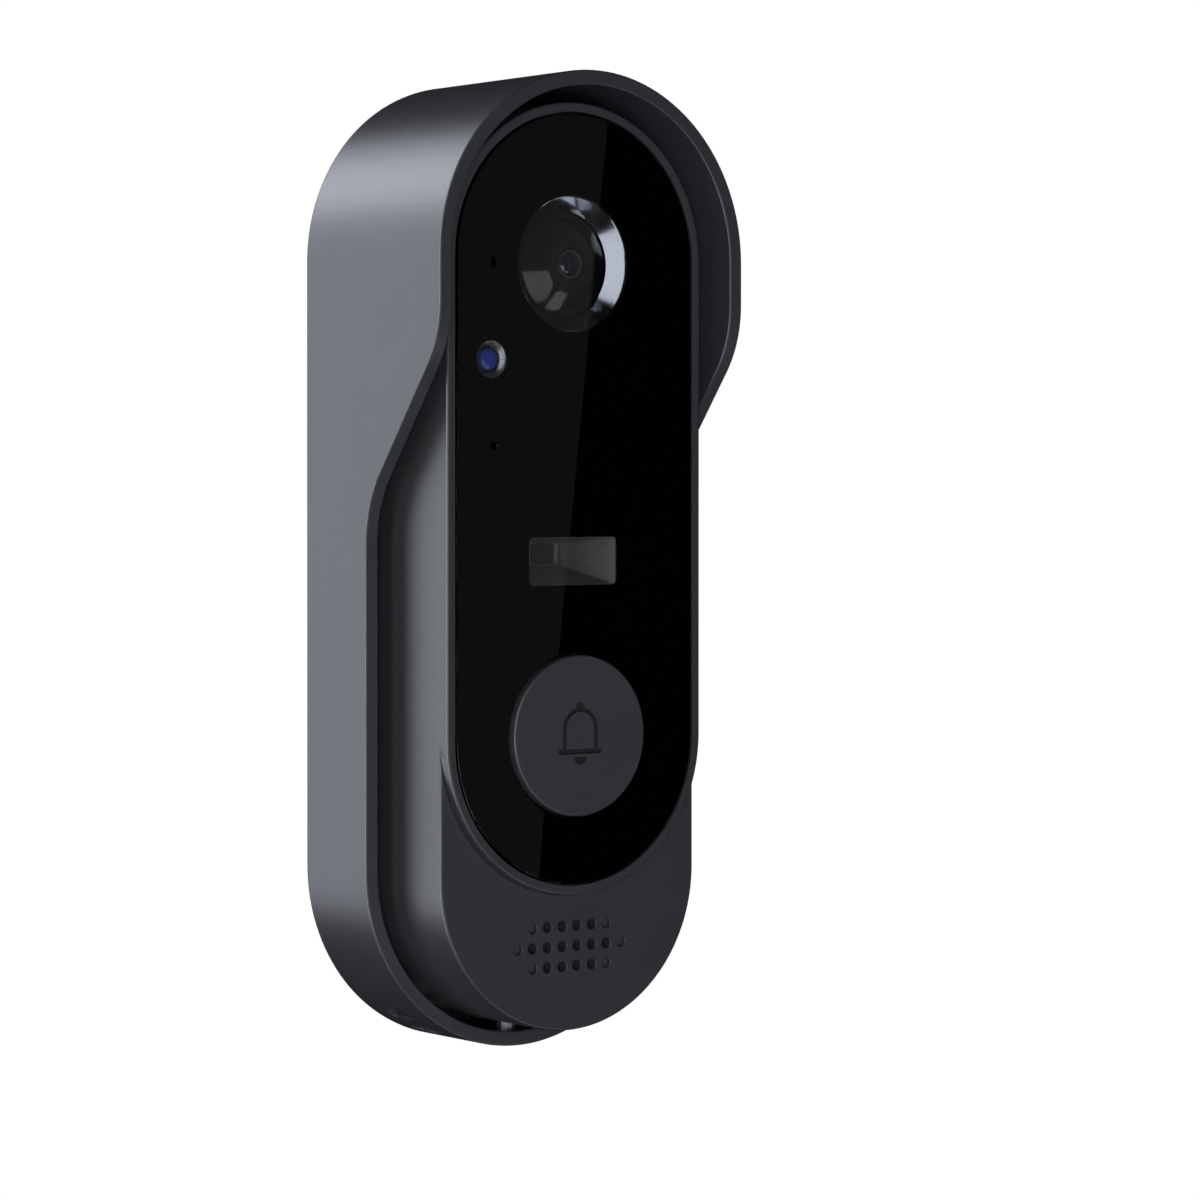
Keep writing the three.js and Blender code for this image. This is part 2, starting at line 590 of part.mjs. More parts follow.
function buildBracket() {
  const base = slab(stadium(BRACKET_RADIUS, BRACKET_ARC_Z, -BRACKET_ARC_Z), BRACKET_BACK, BRACKET_FRONT);
  const lipBack = COVER_FRONT + SEAT;
  const lipFront = lipBack + BRACKET_THICK;
  const armMiddle = HOOK_Z + BRACKET_THICK / 2;
  const lipTop = HOOK_Z + BRACKET_THICK + HOOK_LIFT;
  const arm = block(0, armMiddle, HOOK_WIDTH, BRACKET_THICK, BRACKET_FRONT - 0.5, lipFront);
  const lip = block(0, (HOOK_Z + lipTop) / 2, HOOK_WIDTH, lipTop - HOOK_Z, lipBack, lipFront);
  const past = BRACKET_FRONT + PIERCE;
  const cutters = [
    rearWindow(BRACKET_BACK - PIERCE, past),
    rod(0, WALL_SCREW_TOP_Z, WALL_SCREW_RADIUS, BRACKET_BACK - PIERCE, past),
    rod(0, WALL_SCREW_LOW_Z, WALL_SCREW_RADIUS, BRACKET_BACK - PIERCE, past),
    ...BRACKET_SCREWS.map(([x, z]) => rod(x, z, SCREW_RADIUS + SEAT, BRACKET_BACK - PIERCE, past)),
  ];
  add('wall_bracket', carve(base, [arm, lip], cutters), FINISH.steel);
  BRACKET_SCREWS.forEach(([x, z], i) => {
    const seat = BRACKET_FRONT + TAPE_GAP;
    const top = seat + 1.2;
    const screw = turned(x, z, [
      [0, 0.7],
      [SCREW_RADIUS, 0.7 + SCREW_RADIUS / 2],
      [SCREW_RADIUS, seat],
      [SCREW_HEAD_RADIUS, seat],
      [SCREW_HEAD_RADIUS, top - 0.5],
      [SCREW_HEAD_RADIUS * 0.75, top],
      [0, top],
    ]);
    add(`bracket_screw_${i + 1}`, screw, FINISH.steel);
  });
}

function buildSecurityScrew() {
  const bottom = -(TOP_Z + HOOD_RADIUS) + 0.6;
  const slope = SECURITY_HEAD_RADIUS - SECURITY_RADIUS;
  const tip = bottom + SECURITY_LENGTH + slope;
  const screw = turnedUpright(SECURITY_DEPTH, [
    [0, bottom],
    [SECURITY_HEAD_RADIUS, bottom],
    [SECURITY_RADIUS, bottom + slope],
    [SECURITY_RADIUS, tip - 0.6],
    [SECURITY_RADIUS - 0.6, tip],
    [0, tip],
  ]);
  add('security_screw', screw, FINISH.steel);
  const start = BOTTOM_Z - BODY_RADIUS + BODY_WALL;
  const insert = turnedUpright(SECURITY_DEPTH, [
    [SECURITY_RADIUS + THREAD, start],
    [INSERT_RADIUS, start],
    [INSERT_RADIUS, start + INSERT_LENGTH],
    [SECURITY_RADIUS + THREAD, start + INSERT_LENGTH],
  ]);
  add('security_insert', insert, FINISH.brass);
}

// ---------------------------------------------------------------- body shells

/** Blind pocket inside the rear cover that the bracket's hook goes into, as [solid, cavity, slot]. */
function hookPocket() {
  const slotLow = HOOK_Z - HOOK_LIFT - 0.2;
  const slotHigh = HOOK_Z + BRACKET_THICK + HOOK_SLACK;
  const cavityHigh = HOOK_Z + BRACKET_THICK + HOOK_LIFT + HOOK_SLACK;
  const halfWide = HOOK_WIDTH / 2 + HOOK_SLACK;
  const front = COVER_FRONT + SEAT + BRACKET_THICK + HOOK_SLACK;
  const cavityMiddle = (slotLow + cavityHigh) / 2;
  const cavityHeight = cavityHigh - slotLow;
  const width = 2 * halfWide;
  const wall = 2 * POCKET_WALL;
  return [
    block(0, cavityMiddle, width + wall, cavityHeight + wall, COVER_FRONT - 0.5, front + POCKET_WALL),
    block(0, cavityMiddle, width, cavityHeight, COVER_FRONT, front),
    block(0, (slotLow + slotHigh) / 2, width, slotHigh - slotLow, COVER_BACK - PIERCE, COVER_FRONT + 0.5),
  ];
}

function buildRearCover() {
  const base = slab(stadium(BODY_RADIUS, TOP_Z, BOTTOM_Z), COVER_BACK, COVER_FRONT);
  const [pocket, cavity, slot] = hookPocket();
  const [flapWidth, flapHeight] = USB_COVER_SIZE;
  const [shellWidth, shellHeight] = USB_SHELL;
  const boardPosts = CHARGE_STAKES.flatMap(([x, z]) => [
    rod(x, z, STAKE_POST_RADIUS, COVER_FRONT - 0.5, CHARGE_BOARD_DEPTH - SEAT),
    rod(x, z, STAKE_PIN_RADIUS, COVER_FRONT, CHARGE_BOARD_DEPTH + STAKE_PIN_LENGTH),
  ]);
  const from = COVER_BACK - PIERCE;
  const to = COVER_FRONT + PIERCE;
  const cutters = [
    cavity,
    slot,
    block(0, USB_Z, flapWidth + 2 * SEAT, flapHeight + 4 * SEAT, from, COVER_BACK + USB_RECESS),
    block(0, USB_Z, shellWidth + 2 * SEAT, shellHeight + 2 * SEAT, COVER_BACK, to),
    rod(RESET_OFFSET[0], BUTTON_Z + RESET_OFFSET[1], RESET_RADIUS + SEAT, from, to),
    ...BOSS_PLACES.map(([x, z]) => rod(x, z, SCREW_RADIUS + SEAT, from, to)),
  ];
  add('rear_cover', carve(base, [pocket, ...boardPosts], cutters), FINISH.inner);
  const ring = stadiumRing(BODY_RADIUS - 0.5, TOP_Z, BOTTOM_Z, SEAL_WIDTH);
  add('housing_seal', slab(ring, SEAL_BACK, SEAL_BACK + SEAL_THICK), FINISH.rubber);
  BOSS_PLACES.forEach(([x, z], i) => {
    const headBack = COVER_BACK - TAPE_GAP - 1.2;
    add(`housing_screw_${i + 1}`, rearScrew(x, z, headBack, 1.2, BOSS_DEPTH - 1.5), FINISH.steel);
  });
}

/** Places of the speaker holes as [x, z, isOpen]; the last hole at each end of a row is a dummy. */
function speakerHoles() {
  const rows = [[1, 6], [0, 8], [-1, 6]];
  return rows.flatMap(([row, count]) =>
    Array.from({ length: count }, (_, i) => [
      (i - (count - 1) / 2) * SPEAKER_PITCH_X,
      SPEAKER_Z + row * SPEAKER_PITCH_Z,
      i > 0 && i < count - 1,
    ]),
  );
}

function speakerCutters() {
  return speakerHoles().map(([x, z, isOpen]) => {
    const from = isOpen ? DECK_BACK - PIERCE : CHIN_DEPTH - SPEAKER_BLIND;
    return rod(x, z, SPEAKER_HOLE_RADIUS, from, CHIN_DEPTH + PIERCE);
  });
}

/** The tapering block of the motion sensor's funnel, grown by a margin on all four sides. */
function funnelBlock(margin, fromDepth, toDepth) {
  const geometry = new THREE.BoxGeometry(2, 2, 2);
  const place = geometry.getAttribute('position');
  const frontEnd = DECK_FRONT;
  const backEnd = DECK_FRONT - PIR_FUNNEL_LENGTH;
  for (let i = 0; i < place.count; i += 1) {
    const depth = place.getY(i) > 0 ? fromDepth : toDepth;
    const share = (depth - backEnd) / (frontEnd - backEnd);
    const blend = (key) => THREE.MathUtils.lerp(PIR_FUNNEL_BACK[key], PIR_FUNNEL_FRONT[key], share);
    const side = place.getX(i) * (blend('halfWidth') + margin);
    const up = place.getZ(i) > 0 ? blend('high') + margin : blend('low') - margin;
    place.setXYZ(i, side, -depth, PIR_Z + up);
  }
  return geometry;
}

function buildFrontHousing() {
  const tub = slab(stadium(BODY_RADIUS, TOP_Z, BOTTOM_Z), WALL_START, CHIN_DEPTH);
  const rim = slab(stadium(BODY_RADIUS, TOP_Z, RIM_BOTTOM_Z), CHIN_DEPTH - 1, RIM_DEPTH);
  const glassPocket = slab(
    stadium(BODY_RADIUS - RIM_WIDTH, TOP_Z, RIM_BOTTOM_Z),
    DECK_FRONT,
    RIM_DEPTH + PIERCE,
  );
  const hollow = slab(stadium(INNER_RADIUS, TOP_Z, BOTTOM_Z), WALL_START - PIERCE, DECK_BACK);
  const through = [DECK_BACK - PIERCE, DECK_FRONT + PIERCE];
  const bottomWall = BOTTOM_Z - BODY_RADIUS;
  const insertTop = bottomWall + BODY_WALL + INSERT_LENGTH + SEAT;
  const bossOuter = INSERT_RADIUS + THREAD + 1.2;
  const securityBoss = turnedUpright(SECURITY_DEPTH, [
    [0, bottomWall + 1],
    [bossOuter, bottomWall + 1],
    [bossOuter, insertTop],
    [0, insertTop],
  ]);
  const securityBore = turnedUpright(SECURITY_DEPTH, [
    [0, bottomWall - PIERCE],
    [SECURITY_RADIUS + SEAT, bottomWall - PIERCE],
    [SECURITY_RADIUS + SEAT, bottomWall + BODY_WALL - THREAD],
    [INSERT_RADIUS + THREAD, bottomWall + BODY_WALL - THREAD],
    [INSERT_RADIUS + THREAD, insertTop + PIERCE],
    [0, insertTop + PIERCE],
  ]);
  const bosses = BOSS_PLACES.map(([x, z]) => rod(x, z, BOSS_RADIUS, WALL_START, BOSS_DEPTH));
  const posts = POST_PLACES.map(([x, z]) => rod(x, z, POST_RADIUS, BOARD_FRONT + SEAT, DECK_BACK + 0.5));
  const cameraBoardFront = CAMERA_BOARD_DEPTH + CAMERA_BOARD_THICK;
  const stakes = CAMERA_STAKES.flatMap(([x, z]) => [
    rod(x, z, STAKE_POST_RADIUS, cameraBoardFront + SEAT, DECK_BACK + 0.5),
    rod(x, z, STAKE_PIN_RADIUS, cameraBoardFront - STAKE_PIN_LENGTH, DECK_BACK),
  ]);
  const cutters = [
    glassPocket,
    rod(0, CAMERA_Z, CAMERA_RING_RADIUS + SEAT, ...through),
    rod(SENSOR_X, SENSOR_Z, SENSOR_RADIUS + SEAT, ...through),
    slab(plate(STATUS_X, STATUS_Z, ...STATUS_SLOT), ...through),
    rod(MIC_X, MIC_Z, MIC_HOLE_RADIUS, ...through),
    rod(0, BUTTON_Z, BUTTON_RADIUS + BUTTON_GAP, ...through),
    funnelBlock(PIR_FUNNEL_WALL + SEAT, ...through),
    securityBore,
    ...speakerCutters(),
    ...BOSS_PLACES.map(([x, z]) => rod(x, z, SCREW_RADIUS + THREAD, WALL_START - PIERCE, BOSS_DEPTH - 1)),
    ...POST_PLACES.map(([x, z]) => rod(x, z, SCREW_RADIUS + THREAD, BOARD_FRONT, DECK_BACK - 3)),
  ];
  const shell = carve(tub, [rim], [hollow]);
  add('front_housing', carve(shell, [securityBoss, ...bosses, ...posts, ...stakes], cutters), FINISH.shell);
}

function buildGlass() {
  const base = slab(stadium(GLASS_RADIUS, TOP_Z, RIM_BOTTOM_Z), GLASS_BACK, RIM_DEPTH);
  const through = [GLASS_BACK - PIERCE, RIM_DEPTH + PIERCE];
  const cutters = [
    rod(0, BUTTON_Z, BUTTON_RADIUS + BUTTON_GAP, ...through),
    slab(plate(STATUS_X, STATUS_Z, ...STATUS_SLOT), ...through),
    rod(MIC_X, MIC_Z, MIC_HOLE_RADIUS, ...through),
  ];
  add('front_glass', carve(base, [], cutters), FINISH.glass);
  const ring = stadiumRing(GLASS_RADIUS, TOP_Z, RIM_BOTTOM_Z, TAPE_WIDTH);
  add('glass_tape', slab(ring, DECK_FRONT + TAPE_GAP, GLASS_BACK - TAPE_GAP), FINISH.rubber);
}

// ---------------------------------------------------------------- camera

function buildCameraRing() {
  const front = DECK_FRONT - TAPE_GAP;
  const coneEnd = front - CAMERA_RING_SLOPE;
  const back = coneEnd - CAMERA_RING_FOOT;
  const flangeFront = DECK_BACK - SEAT;
  const flange = CAMERA_RING_RADIUS + CAMERA_RING_FLANGE;
  const profile = [
    [CAMERA_RING_INNER, back],
    [flange, back],
    [flange, flangeFront],
    [CAMERA_RING_RADIUS, flangeFront],
    [CAMERA_RING_RADIUS, front],
    [CAMERA_RING_RADIUS - CAMERA_RING_LAND, front],
    [CAMERA_RING_INNER, coneEnd],
  ];
  add('camera_ring', turned(0, CAMERA_Z, profile), FINISH.chrome);
  return { coneEnd, back };
}

/** The black infrared window round the lens: a shallow bowl rising to a flat crown. */
function buildDome(coneEnd, back) {
  const edge = CAMERA_RING_INNER - SEAT;
  const crown = coneEnd + DOME_CROWN_RISE;
  const hole = LENS_RADIUS + SEAT;
  const steps = 6;
  const rise = (lift, inset) =>
    Array.from({ length: steps + 1 }, (_, i) => {
      const angle = (Math.PI / 2) * (i / steps);
      const radius = DOME_CROWN_RADIUS + (edge - inset - DOME_CROWN_RADIUS) * Math.cos(angle);
      return [radius, coneEnd - lift + DOME_CROWN_RISE * Math.sin(angle)];
    });
  const outside = rise(0, 0);
  const inside = rise(DOME_WALL, DOME_WALL).reverse();
  const foot = [[edge - DOME_WALL, back], [edge, back]];
  const profile = [...foot, ...outside, [hole, crown], [hole, crown - DOME_WALL], ...inside];
  add('camera_dome', turned(0, CAMERA_Z, profile), FINISH.black);
  return crown;
}

function buildLens(crown) {
  const front = crown + LENS_PROUD;
  const wideFront = crown - DOME_WALL - DOME_CROWN_RISE + LENS_SHOULDER_RISE;
  const back = CAMERA_BOARD_DEPTH + LENS_BACK_RISE;
  const seat = front - LENS_SEAT_DEPTH;
  const bore = LENS_THROAT - LENS_LEDGE;
  add(
    'lens_barrel',
    turned(0, CAMERA_Z, [
      [bore, back],
      [LENS_BODY_RADIUS, back],
      [LENS_BODY_RADIUS, wideFront],
      [LENS_RADIUS, wideFront],
      [LENS_RADIUS, front],
      [LENS_THROAT, front],
      [LENS_THROAT, seat],
      [bore, seat],
    ]),
    FINISH.black,
  );
  const steps = 5;
  const radius = LENS_THROAT - THREAD;
  const bulge = Array.from({ length: steps + 1 }, (_, i) => {
    const angle = (Math.PI / 2) * (i / steps);
    return [radius * Math.cos(angle), seat + LENS_EDGE_THICK + LENS_BULGE * Math.sin(angle)];
  });
  const glass = [[0, seat + TAPE_GAP], [radius, seat + TAPE_GAP], ...bulge];
  add('lens_element', turned(0, CAMERA_Z, glass), FINISH.clear);
}

/** A small circuit board with holes for the pins that hold it. */
function stakedBoard(outline, stakes, fromDepth, thick) {
  const holes = stakes.map(([x, z]) =>
    rod(x, z, STAKE_PIN_RADIUS + SEAT, fromDepth - PIERCE, fromDepth + thick + PIERCE),
  );
  return carve(slab(outline, fromDepth, fromDepth + thick), [], holes);
}

function buildCameraModule() {
  const board = [CAMERA_BOARD_DEPTH, CAMERA_BOARD_DEPTH + CAMERA_BOARD_THICK];
  const outline = plate(0, CAMERA_BOARD_Z, 2 * CAMERA_BOARD_HALF, CAMERA_BOARD_HEIGHT, BOARD_CORNER);
  add('camera_board', stakedBoard(outline, CAMERA_STAKES, board[0], CAMERA_BOARD_THICK), FINISH.board);
  const holderBack = board[1] + TAPE_GAP;
  const holderFront = holderBack + HOLDER_DEPTH;
  const roof = holderFront - HOLDER_ROOF;
  const room = [HOLDER_WIDTH - 2 * HOLDER_WALL, HOLDER_HEIGHT - 2 * HOLDER_WALL];
  const holder = carve(
    block(0, CAMERA_Z, HOLDER_WIDTH, HOLDER_HEIGHT, holderBack, holderFront),
    [],
    [
      block(0, CAMERA_Z, ...room, holderBack - PIERCE, roof),
      rod(0, CAMERA_Z, LENS_BODY_RADIUS + THREAD, roof - PIERCE, holderFront + PIERCE),
    ],
  );
  add('lens_holder', holder, FINISH.inner);
  const [chipWidth, chipHeight, chipThick] = IMAGE_SENSOR_SIZE;
  const chip = block(0, CAMERA_Z, chipWidth, chipHeight, holderBack, holderBack + chipThick);
  add('image_sensor', chip, FINISH.black);
  const bladeX = -FILTER_TRAVEL / 2;
  const bladeBack = board[1] + FILTER_RISE;
  const bladeFront = bladeBack + FILTER_THICK;
  const blade = block(bladeX, CAMERA_Z, FILTER_LENGTH, FILTER_HEIGHT, bladeBack, bladeFront);
  add('ir_filter_blade', blade, FINISH.clear);
  const ribbonFront = CAMERA_BOARD_DEPTH - TAPE_GAP;
  const ribbonZ = (BOARD_TOP_Z + CAMERA_BOARD_Z - CAMERA_BOARD_HEIGHT / 2) / 2;
  const [ribbonWidth, ribbonLength, ribbonThick] = CAMERA_FLEX_SIZE;
  const ribbon = block(0, ribbonZ, ribbonWidth, ribbonLength, ribbonFront - ribbonThick, ribbonFront);
  add('camera_flex', ribbon, FINISH.foil);
}

function buildInfraredLights(domeBack) {
  const front = domeBack - SEAT;
  const back = front - LED_BOARD_THICK;
  const outer = CAMERA_RING_INNER - LED_BOARD_INSET;
  const inner = LENS_BODY_RADIUS + LED_BOARD_ROOM;
  add('ir_led_board', tube(0, CAMERA_Z, outer, inner, back, front), FINISH.board);
  [-1, 1].forEach((side, i) => {
    const x = side * LED_CIRCLE_RADIUS;
    const seat = front + TAPE_GAP;
    add(`ir_led_${i + 1}`, block(x, CAMERA_Z, LED_SIZE, LED_SIZE, seat, seat + LED_THICK), FINISH.clear);
  });
}

function buildCamera() {
  const { coneEnd, back } = buildCameraRing();
  const crown = buildDome(coneEnd, back);
  buildLens(crown);
  buildCameraModule();
  buildInfraredLights(back);
}

// ---------------------------------------------------------------- small sensors

function buildLightSensor() {
  const front = DECK_FRONT - TAPE_GAP;
  const inner = SENSOR_LENS_RADIUS + SEAT + SENSOR_PLAY;
  const flange = SENSOR_RADIUS + SENSOR_FLANGE;
  const flangeFront = DECK_BACK - SEAT;
  const flangeBack = flangeFront - SENSOR_FLANGE_THICK;
  const ring = turned(SENSOR_X, SENSOR_Z, [
    [inner, flangeBack],
    [flange, flangeBack],
    [flange, flangeFront],
    [SENSOR_RADIUS, flangeFront],
    [SENSOR_RADIUS, front],
    [inner, front - SENSOR_CONE],
  ]);
  add('light_sensor_ring', ring, FINISH.chrome);
  const [stem, crown] = [0.74 * SENSOR_LENS_RADIUS, 0.6 * SENSOR_LENS_RADIUS];
  const guide = turned(SENSOR_X, SENSOR_Z, [
    [0, BOARD_FRONT + SEAT],
    [stem, BOARD_FRONT + SEAT],
    [stem, DECK_BACK - 1],
    [SENSOR_LENS_RADIUS, DECK_BACK - 0.6],
    [SENSOR_LENS_RADIUS, front - 0.3],
    [crown, front - 0.1],
    [0, front],
  ]);
  add('light_sensor_guide', guide, FINISH.lensBlue);
}

function buildStatusLight() {
  const back = CAMERA_BOARD_DEPTH + CAMERA_BOARD_THICK + SEAT;
  const guide = rod(STATUS_X, STATUS_Z, STATUS_GUIDE_RADIUS, back, DECK_BACK - SEAT);
  add('status_light_guide', guide, FINISH.clear);
}

function buildMicrophone() {
  const seat = BOARD_FRONT + TAPE_GAP;
  const [width, height, thick] = MIC_SIZE;
  add('microphone', block(MIC_X, MIC_Z, width, height, seat, seat + thick), FINISH.steel);
  const [bootOuter, bootInner] = MIC_BOOT_RADII;
  const bootBack = seat + thick + THREAD;
  const boot = tube(MIC_X, MIC_Z, bootOuter, bootInner, bootBack, DECK_BACK - THREAD);
  add('microphone_boot', boot, FINISH.rubber);
}

function buildMotionSensor() {
  const back = DECK_FRONT - PIR_FUNNEL_LENGTH;
  const front = DECK_FRONT - TAPE_GAP;
  const funnel = carve(
    funnelBlock(PIR_FUNNEL_WALL, back, front),
    [],
    [funnelBlock(0, back - PIERCE, front + PIERCE)],
  );
  add('pir_shroud', funnel, FINISH.inner);
  const seat = BOARD_FRONT + TAPE_GAP;
  const [width, height, thick] = PIR_WINDOW;
  const windowBack = back - SEAT - thick;
  const canFront = windowBack - THREAD;
  const base = PIR_CAN_RADIUS + PIR_BASE_LIP;
  const can = turned(0, PIR_Z, [
    [0, seat],
    [base, seat],
    [base, seat + PIR_CAN_SOFT],
    [PIR_CAN_RADIUS, seat + PIR_CAN_SOFT],
    [PIR_CAN_RADIUS, canFront - PIR_CAN_SOFT],
    [PIR_CAN_RADIUS - PIR_CAN_SOFT, canFront],
    [0, canFront],
  ]);
  add('pir_sensor', can, FINISH.steel);
  add('pir_window', block(0, PIR_Z, width, height, windowBack, windowBack + thick), FINISH.black);
}

// ---------------------------------------------------------------- push button

function buildButton() {
  const inner = BUTTON_RADIUS - BUTTON_SKIRT;
  const underside = BUTTON_TOP - BUTTON_TOP_THICK;
  const stemEnd = PLUNGER_TOP + SEAT;
  const cap = turned(0, BUTTON_Z, [
    [0, stemEnd],
    [BUTTON_STEM_RADIUS, stemEnd],
    [BUTTON_STEM_RADIUS, underside],
    [inner, underside],
    [inner, BUTTON_FLANGE_BACK],
    [BUTTON_FLANGE_RADIUS, BUTTON_FLANGE_BACK],
    [BUTTON_FLANGE_RADIUS, BUTTON_FLANGE_FRONT],
    [BUTTON_RADIUS, BUTTON_FLANGE_FRONT],
    [BUTTON_RADIUS, BUTTON_TOP - BUTTON_EDGE],
    [BUTTON_RADIUS - BUTTON_EDGE, BUTTON_TOP],
    [0, BUTTON_TOP],
  ]);
  add('button_cap', cap, FINISH.shell);
  const seatWidth = BUTTON_FLANGE_RADIUS - inner;
  const outer = BUTTON_FLANGE_RADIUS + BUTTON_SEAL_LIP;
  const sealBack = SEAL_TOP - BUTTON_SEAL_THICK;
  add('button_seal', tube(0, BUTTON_Z, outer, outer - seatWidth, sealBack, SEAL_TOP), FINISH.rubber);
  const carrierFront = sealBack - TAPE_GAP;
  const carrierBack = BOARD_FRONT + TAPE_GAP;
  const carrier = tube(0, BUTTON_Z, outer, outer - CARRIER_WALL, carrierBack, carrierFront);
  add('button_carrier', carrier, FINISH.inner);
}

function buildSwitch() {
  const seat = BOARD_FRONT + TAPE_GAP;
  const gap = 2 * SEAT;
  const wellFloor = SWITCH_TOP - SWITCH_WELL;
  const well = rod(0, BUTTON_Z, PLUNGER_RADIUS + THREAD, wellFloor, SWITCH_TOP + PIERCE);
  const [width] = SWITCH_SIZE;
  const base = carve(block(0, BUTTON_Z, width, width, seat, SWITCH_TOP), [], [well]);
  add('tact_switch', base, FINISH.black);
  const plunger = rod(0, BUTTON_Z, PLUNGER_RADIUS, wellFloor + gap, PLUNGER_TOP);
  add('switch_plunger', plunger, FINISH.shell);
}

// ---------------------------------------------------------------- boards and radio

function buildMainBoard() {
  const height = BOARD_TOP_Z - BOARD_BOTTOM_Z;
  const middle = (BOARD_TOP_Z + BOARD_BOTTOM_Z) / 2;
  const outline = plate(0, middle, 2 * BOARD_HALF_WIDTH, height, 2 * BOARD_CORNER);
  const holes = POST_PLACES.map(([x, z]) =>
    rod(x, z, SCREW_RADIUS + SEAT, BOARD_DEPTH - PIERCE, BOARD_FRONT + PIERCE),
  );
  add('main_board', carve(slab(outline, BOARD_DEPTH, BOARD_FRONT), [], holes), FINISH.board);
  POST_PLACES.forEach(([x, z], i) => {
    const headThick = 1;
    const headBack = BOARD_DEPTH - TAPE_GAP - headThick;
    add(`board_screw_${i + 1}`, rearScrew(x, z, headBack, headThick, BOARD_FRONT + 5), FINISH.steel);
  });
  const seat = BOARD_FRONT + TAPE_GAP;
  const chipsZ = (MIC_Z + SENSOR_Z) / 2 - CHIPS_DROP;
  const [chip, chipThick] = PROCESSOR_SIZE;
  const [radio, radioThick] = RADIO_SIZE;
  const beside = PIR_CAN_RADIUS + CHIPS_ROOM;
  const processor = block(-beside - chip / 2, chipsZ, chip, chip, seat, seat + chipThick);
  add('processor', processor, FINISH.black);
  const module = block(beside + radio / 2, chipsZ, radio, radio, seat, seat + radioThick);
  add('radio_module', module, FINISH.steel);
  const [strip, length] = ANTENNA_SIZE;
  const antennaX = INNER_RADIUS - SEAT - THREAD - strip / 2;
  add('antenna', block(antennaX, chipsZ, strip, length, BOARD_FRONT + 1, DECK_BACK - 1), FINISH.foil);
}

// ---------------------------------------------------------------- speaker

function buildSpeaker() {
  const meshFront = DECK_BACK - TAPE_GAP;
  const gasketFront = meshFront - MESH_THICK;
  const frameFront = gasketFront - GASKET_THICK;
  const frameBack = frameFront - SPEAKER_BOWL;
  const rimInner = SPEAKER_RADIUS - SPEAKER_RIM;
  add('speaker_mesh', rod(0, SPEAKER_Z, SPEAKER_RADIUS, gasketFront + TAPE_GAP, meshFront), FINISH.black);
  const gasketBack = frameFront + TAPE_GAP;
  const gasket = tube(0, SPEAKER_Z, SPEAKER_RADIUS, rimInner, gasketBack, gasketFront);
  add('speaker_gasket', gasket, FINISH.rubber);
  const frame = turned(0, SPEAKER_Z, [
    [0, frameBack - MAGNET_THICK],
    [MAGNET_RADIUS, frameBack - MAGNET_THICK],
    [MAGNET_RADIUS, frameBack],
    [SPEAKER_RADIUS - 1, frameBack + 1],
    [SPEAKER_RADIUS, frameBack + 3],
    [SPEAKER_RADIUS, frameFront],
    [rimInner, frameFront],
    [rimInner, frameBack + 3],
    [rimInner - 3, frameBack + 1.2],
    [0, frameBack + 1.2],
  ]);
  add('speaker_frame', frame, FINISH.steel);
  const edge = rimInner - SEAT;
  const rest = frameFront - 1.2;
  const cone = turned(0, SPEAKER_Z, [
    [0, rest - 0.3],
    [CONE_CAP_RADIUS, rest - 1.1],
    [edge, rest - 0.3],
    [edge, rest],
    [CONE_CAP_RADIUS, rest - 0.7],
    [0, rest + 0.2],
  ]);
  add('speaker_cone', cone, FINISH.cone);
}

// ---------------------------------------------------------------- power

function buildBattery() {
  const top = TOP_Z + BATTERY_TOP_RISE;
  const bottom = RIM_BOTTOM_Z + BATTERY_BOTTOM_RISE;
  const width = 2 * (INNER_RADIUS - BATTERY_EDGE);
  const outline = plate(0, (top + bottom) / 2, width, top - bottom, BATTERY_CORNER);
  add('battery_pack', slab(outline, BATTERY_BACK, BATTERY_FRONT), FINISH.cell);
  const connectorFront = BOARD_DEPTH - TAPE_GAP;
  const [plugWidth, plugHeight, plugThick] = BATTERY_PLUG_SIZE;
  const [plugX, plugDrop] = BATTERY_PLUG_OFFSET;
  const plugBack = connectorFront - plugThick;
  const plug = block(plugX, bottom - plugDrop, plugWidth, plugHeight, plugBack, connectorFront);
  add('battery_connector', plug, FINISH.clear);
}

function buildCharging() {
  const outline = plate(0, BUTTON_Z, ...CHARGE_BOARD_SIZE, BOARD_CORNER);
  const board = stakedBoard(outline, CHARGE_STAKES, CHARGE_BOARD_DEPTH, CHARGE_BOARD_THICK);
  add('charge_board', board, FINISH.board);
  const [width, height, wall] = USB_SHELL;
  const mouth = COVER_BACK + USB_RECESS + SEAT;
  const seat = CHARGE_BOARD_DEPTH - TAPE_GAP;
  const socket = carve(
    block(0, USB_Z, width, height, mouth, seat),
    [],
    [block(0, USB_Z, width - 2 * wall, height - 2 * wall, mouth - PIERCE, seat - 1)],
  );
  add('usb_socket', socket, FINISH.steel);
  const [coverWidth, coverHeight, coverThick] = USB_COVER_SIZE;
  const [plugWidth, plugHeight, plugLength] = USB_PLUG_SIZE;
  const flapBack = COVER_BACK + THREAD;
  const flapFront = flapBack + coverThick;
  const flap = block(0, USB_Z, coverWidth, coverHeight, flapBack, flapFront);
  const plug = block(0, USB_Z, plugWidth, plugHeight, flapFront - 0.2, flapFront + plugLength);
  add('usb_cover', carve(flap, [plug], []), FINISH.rubber);
}

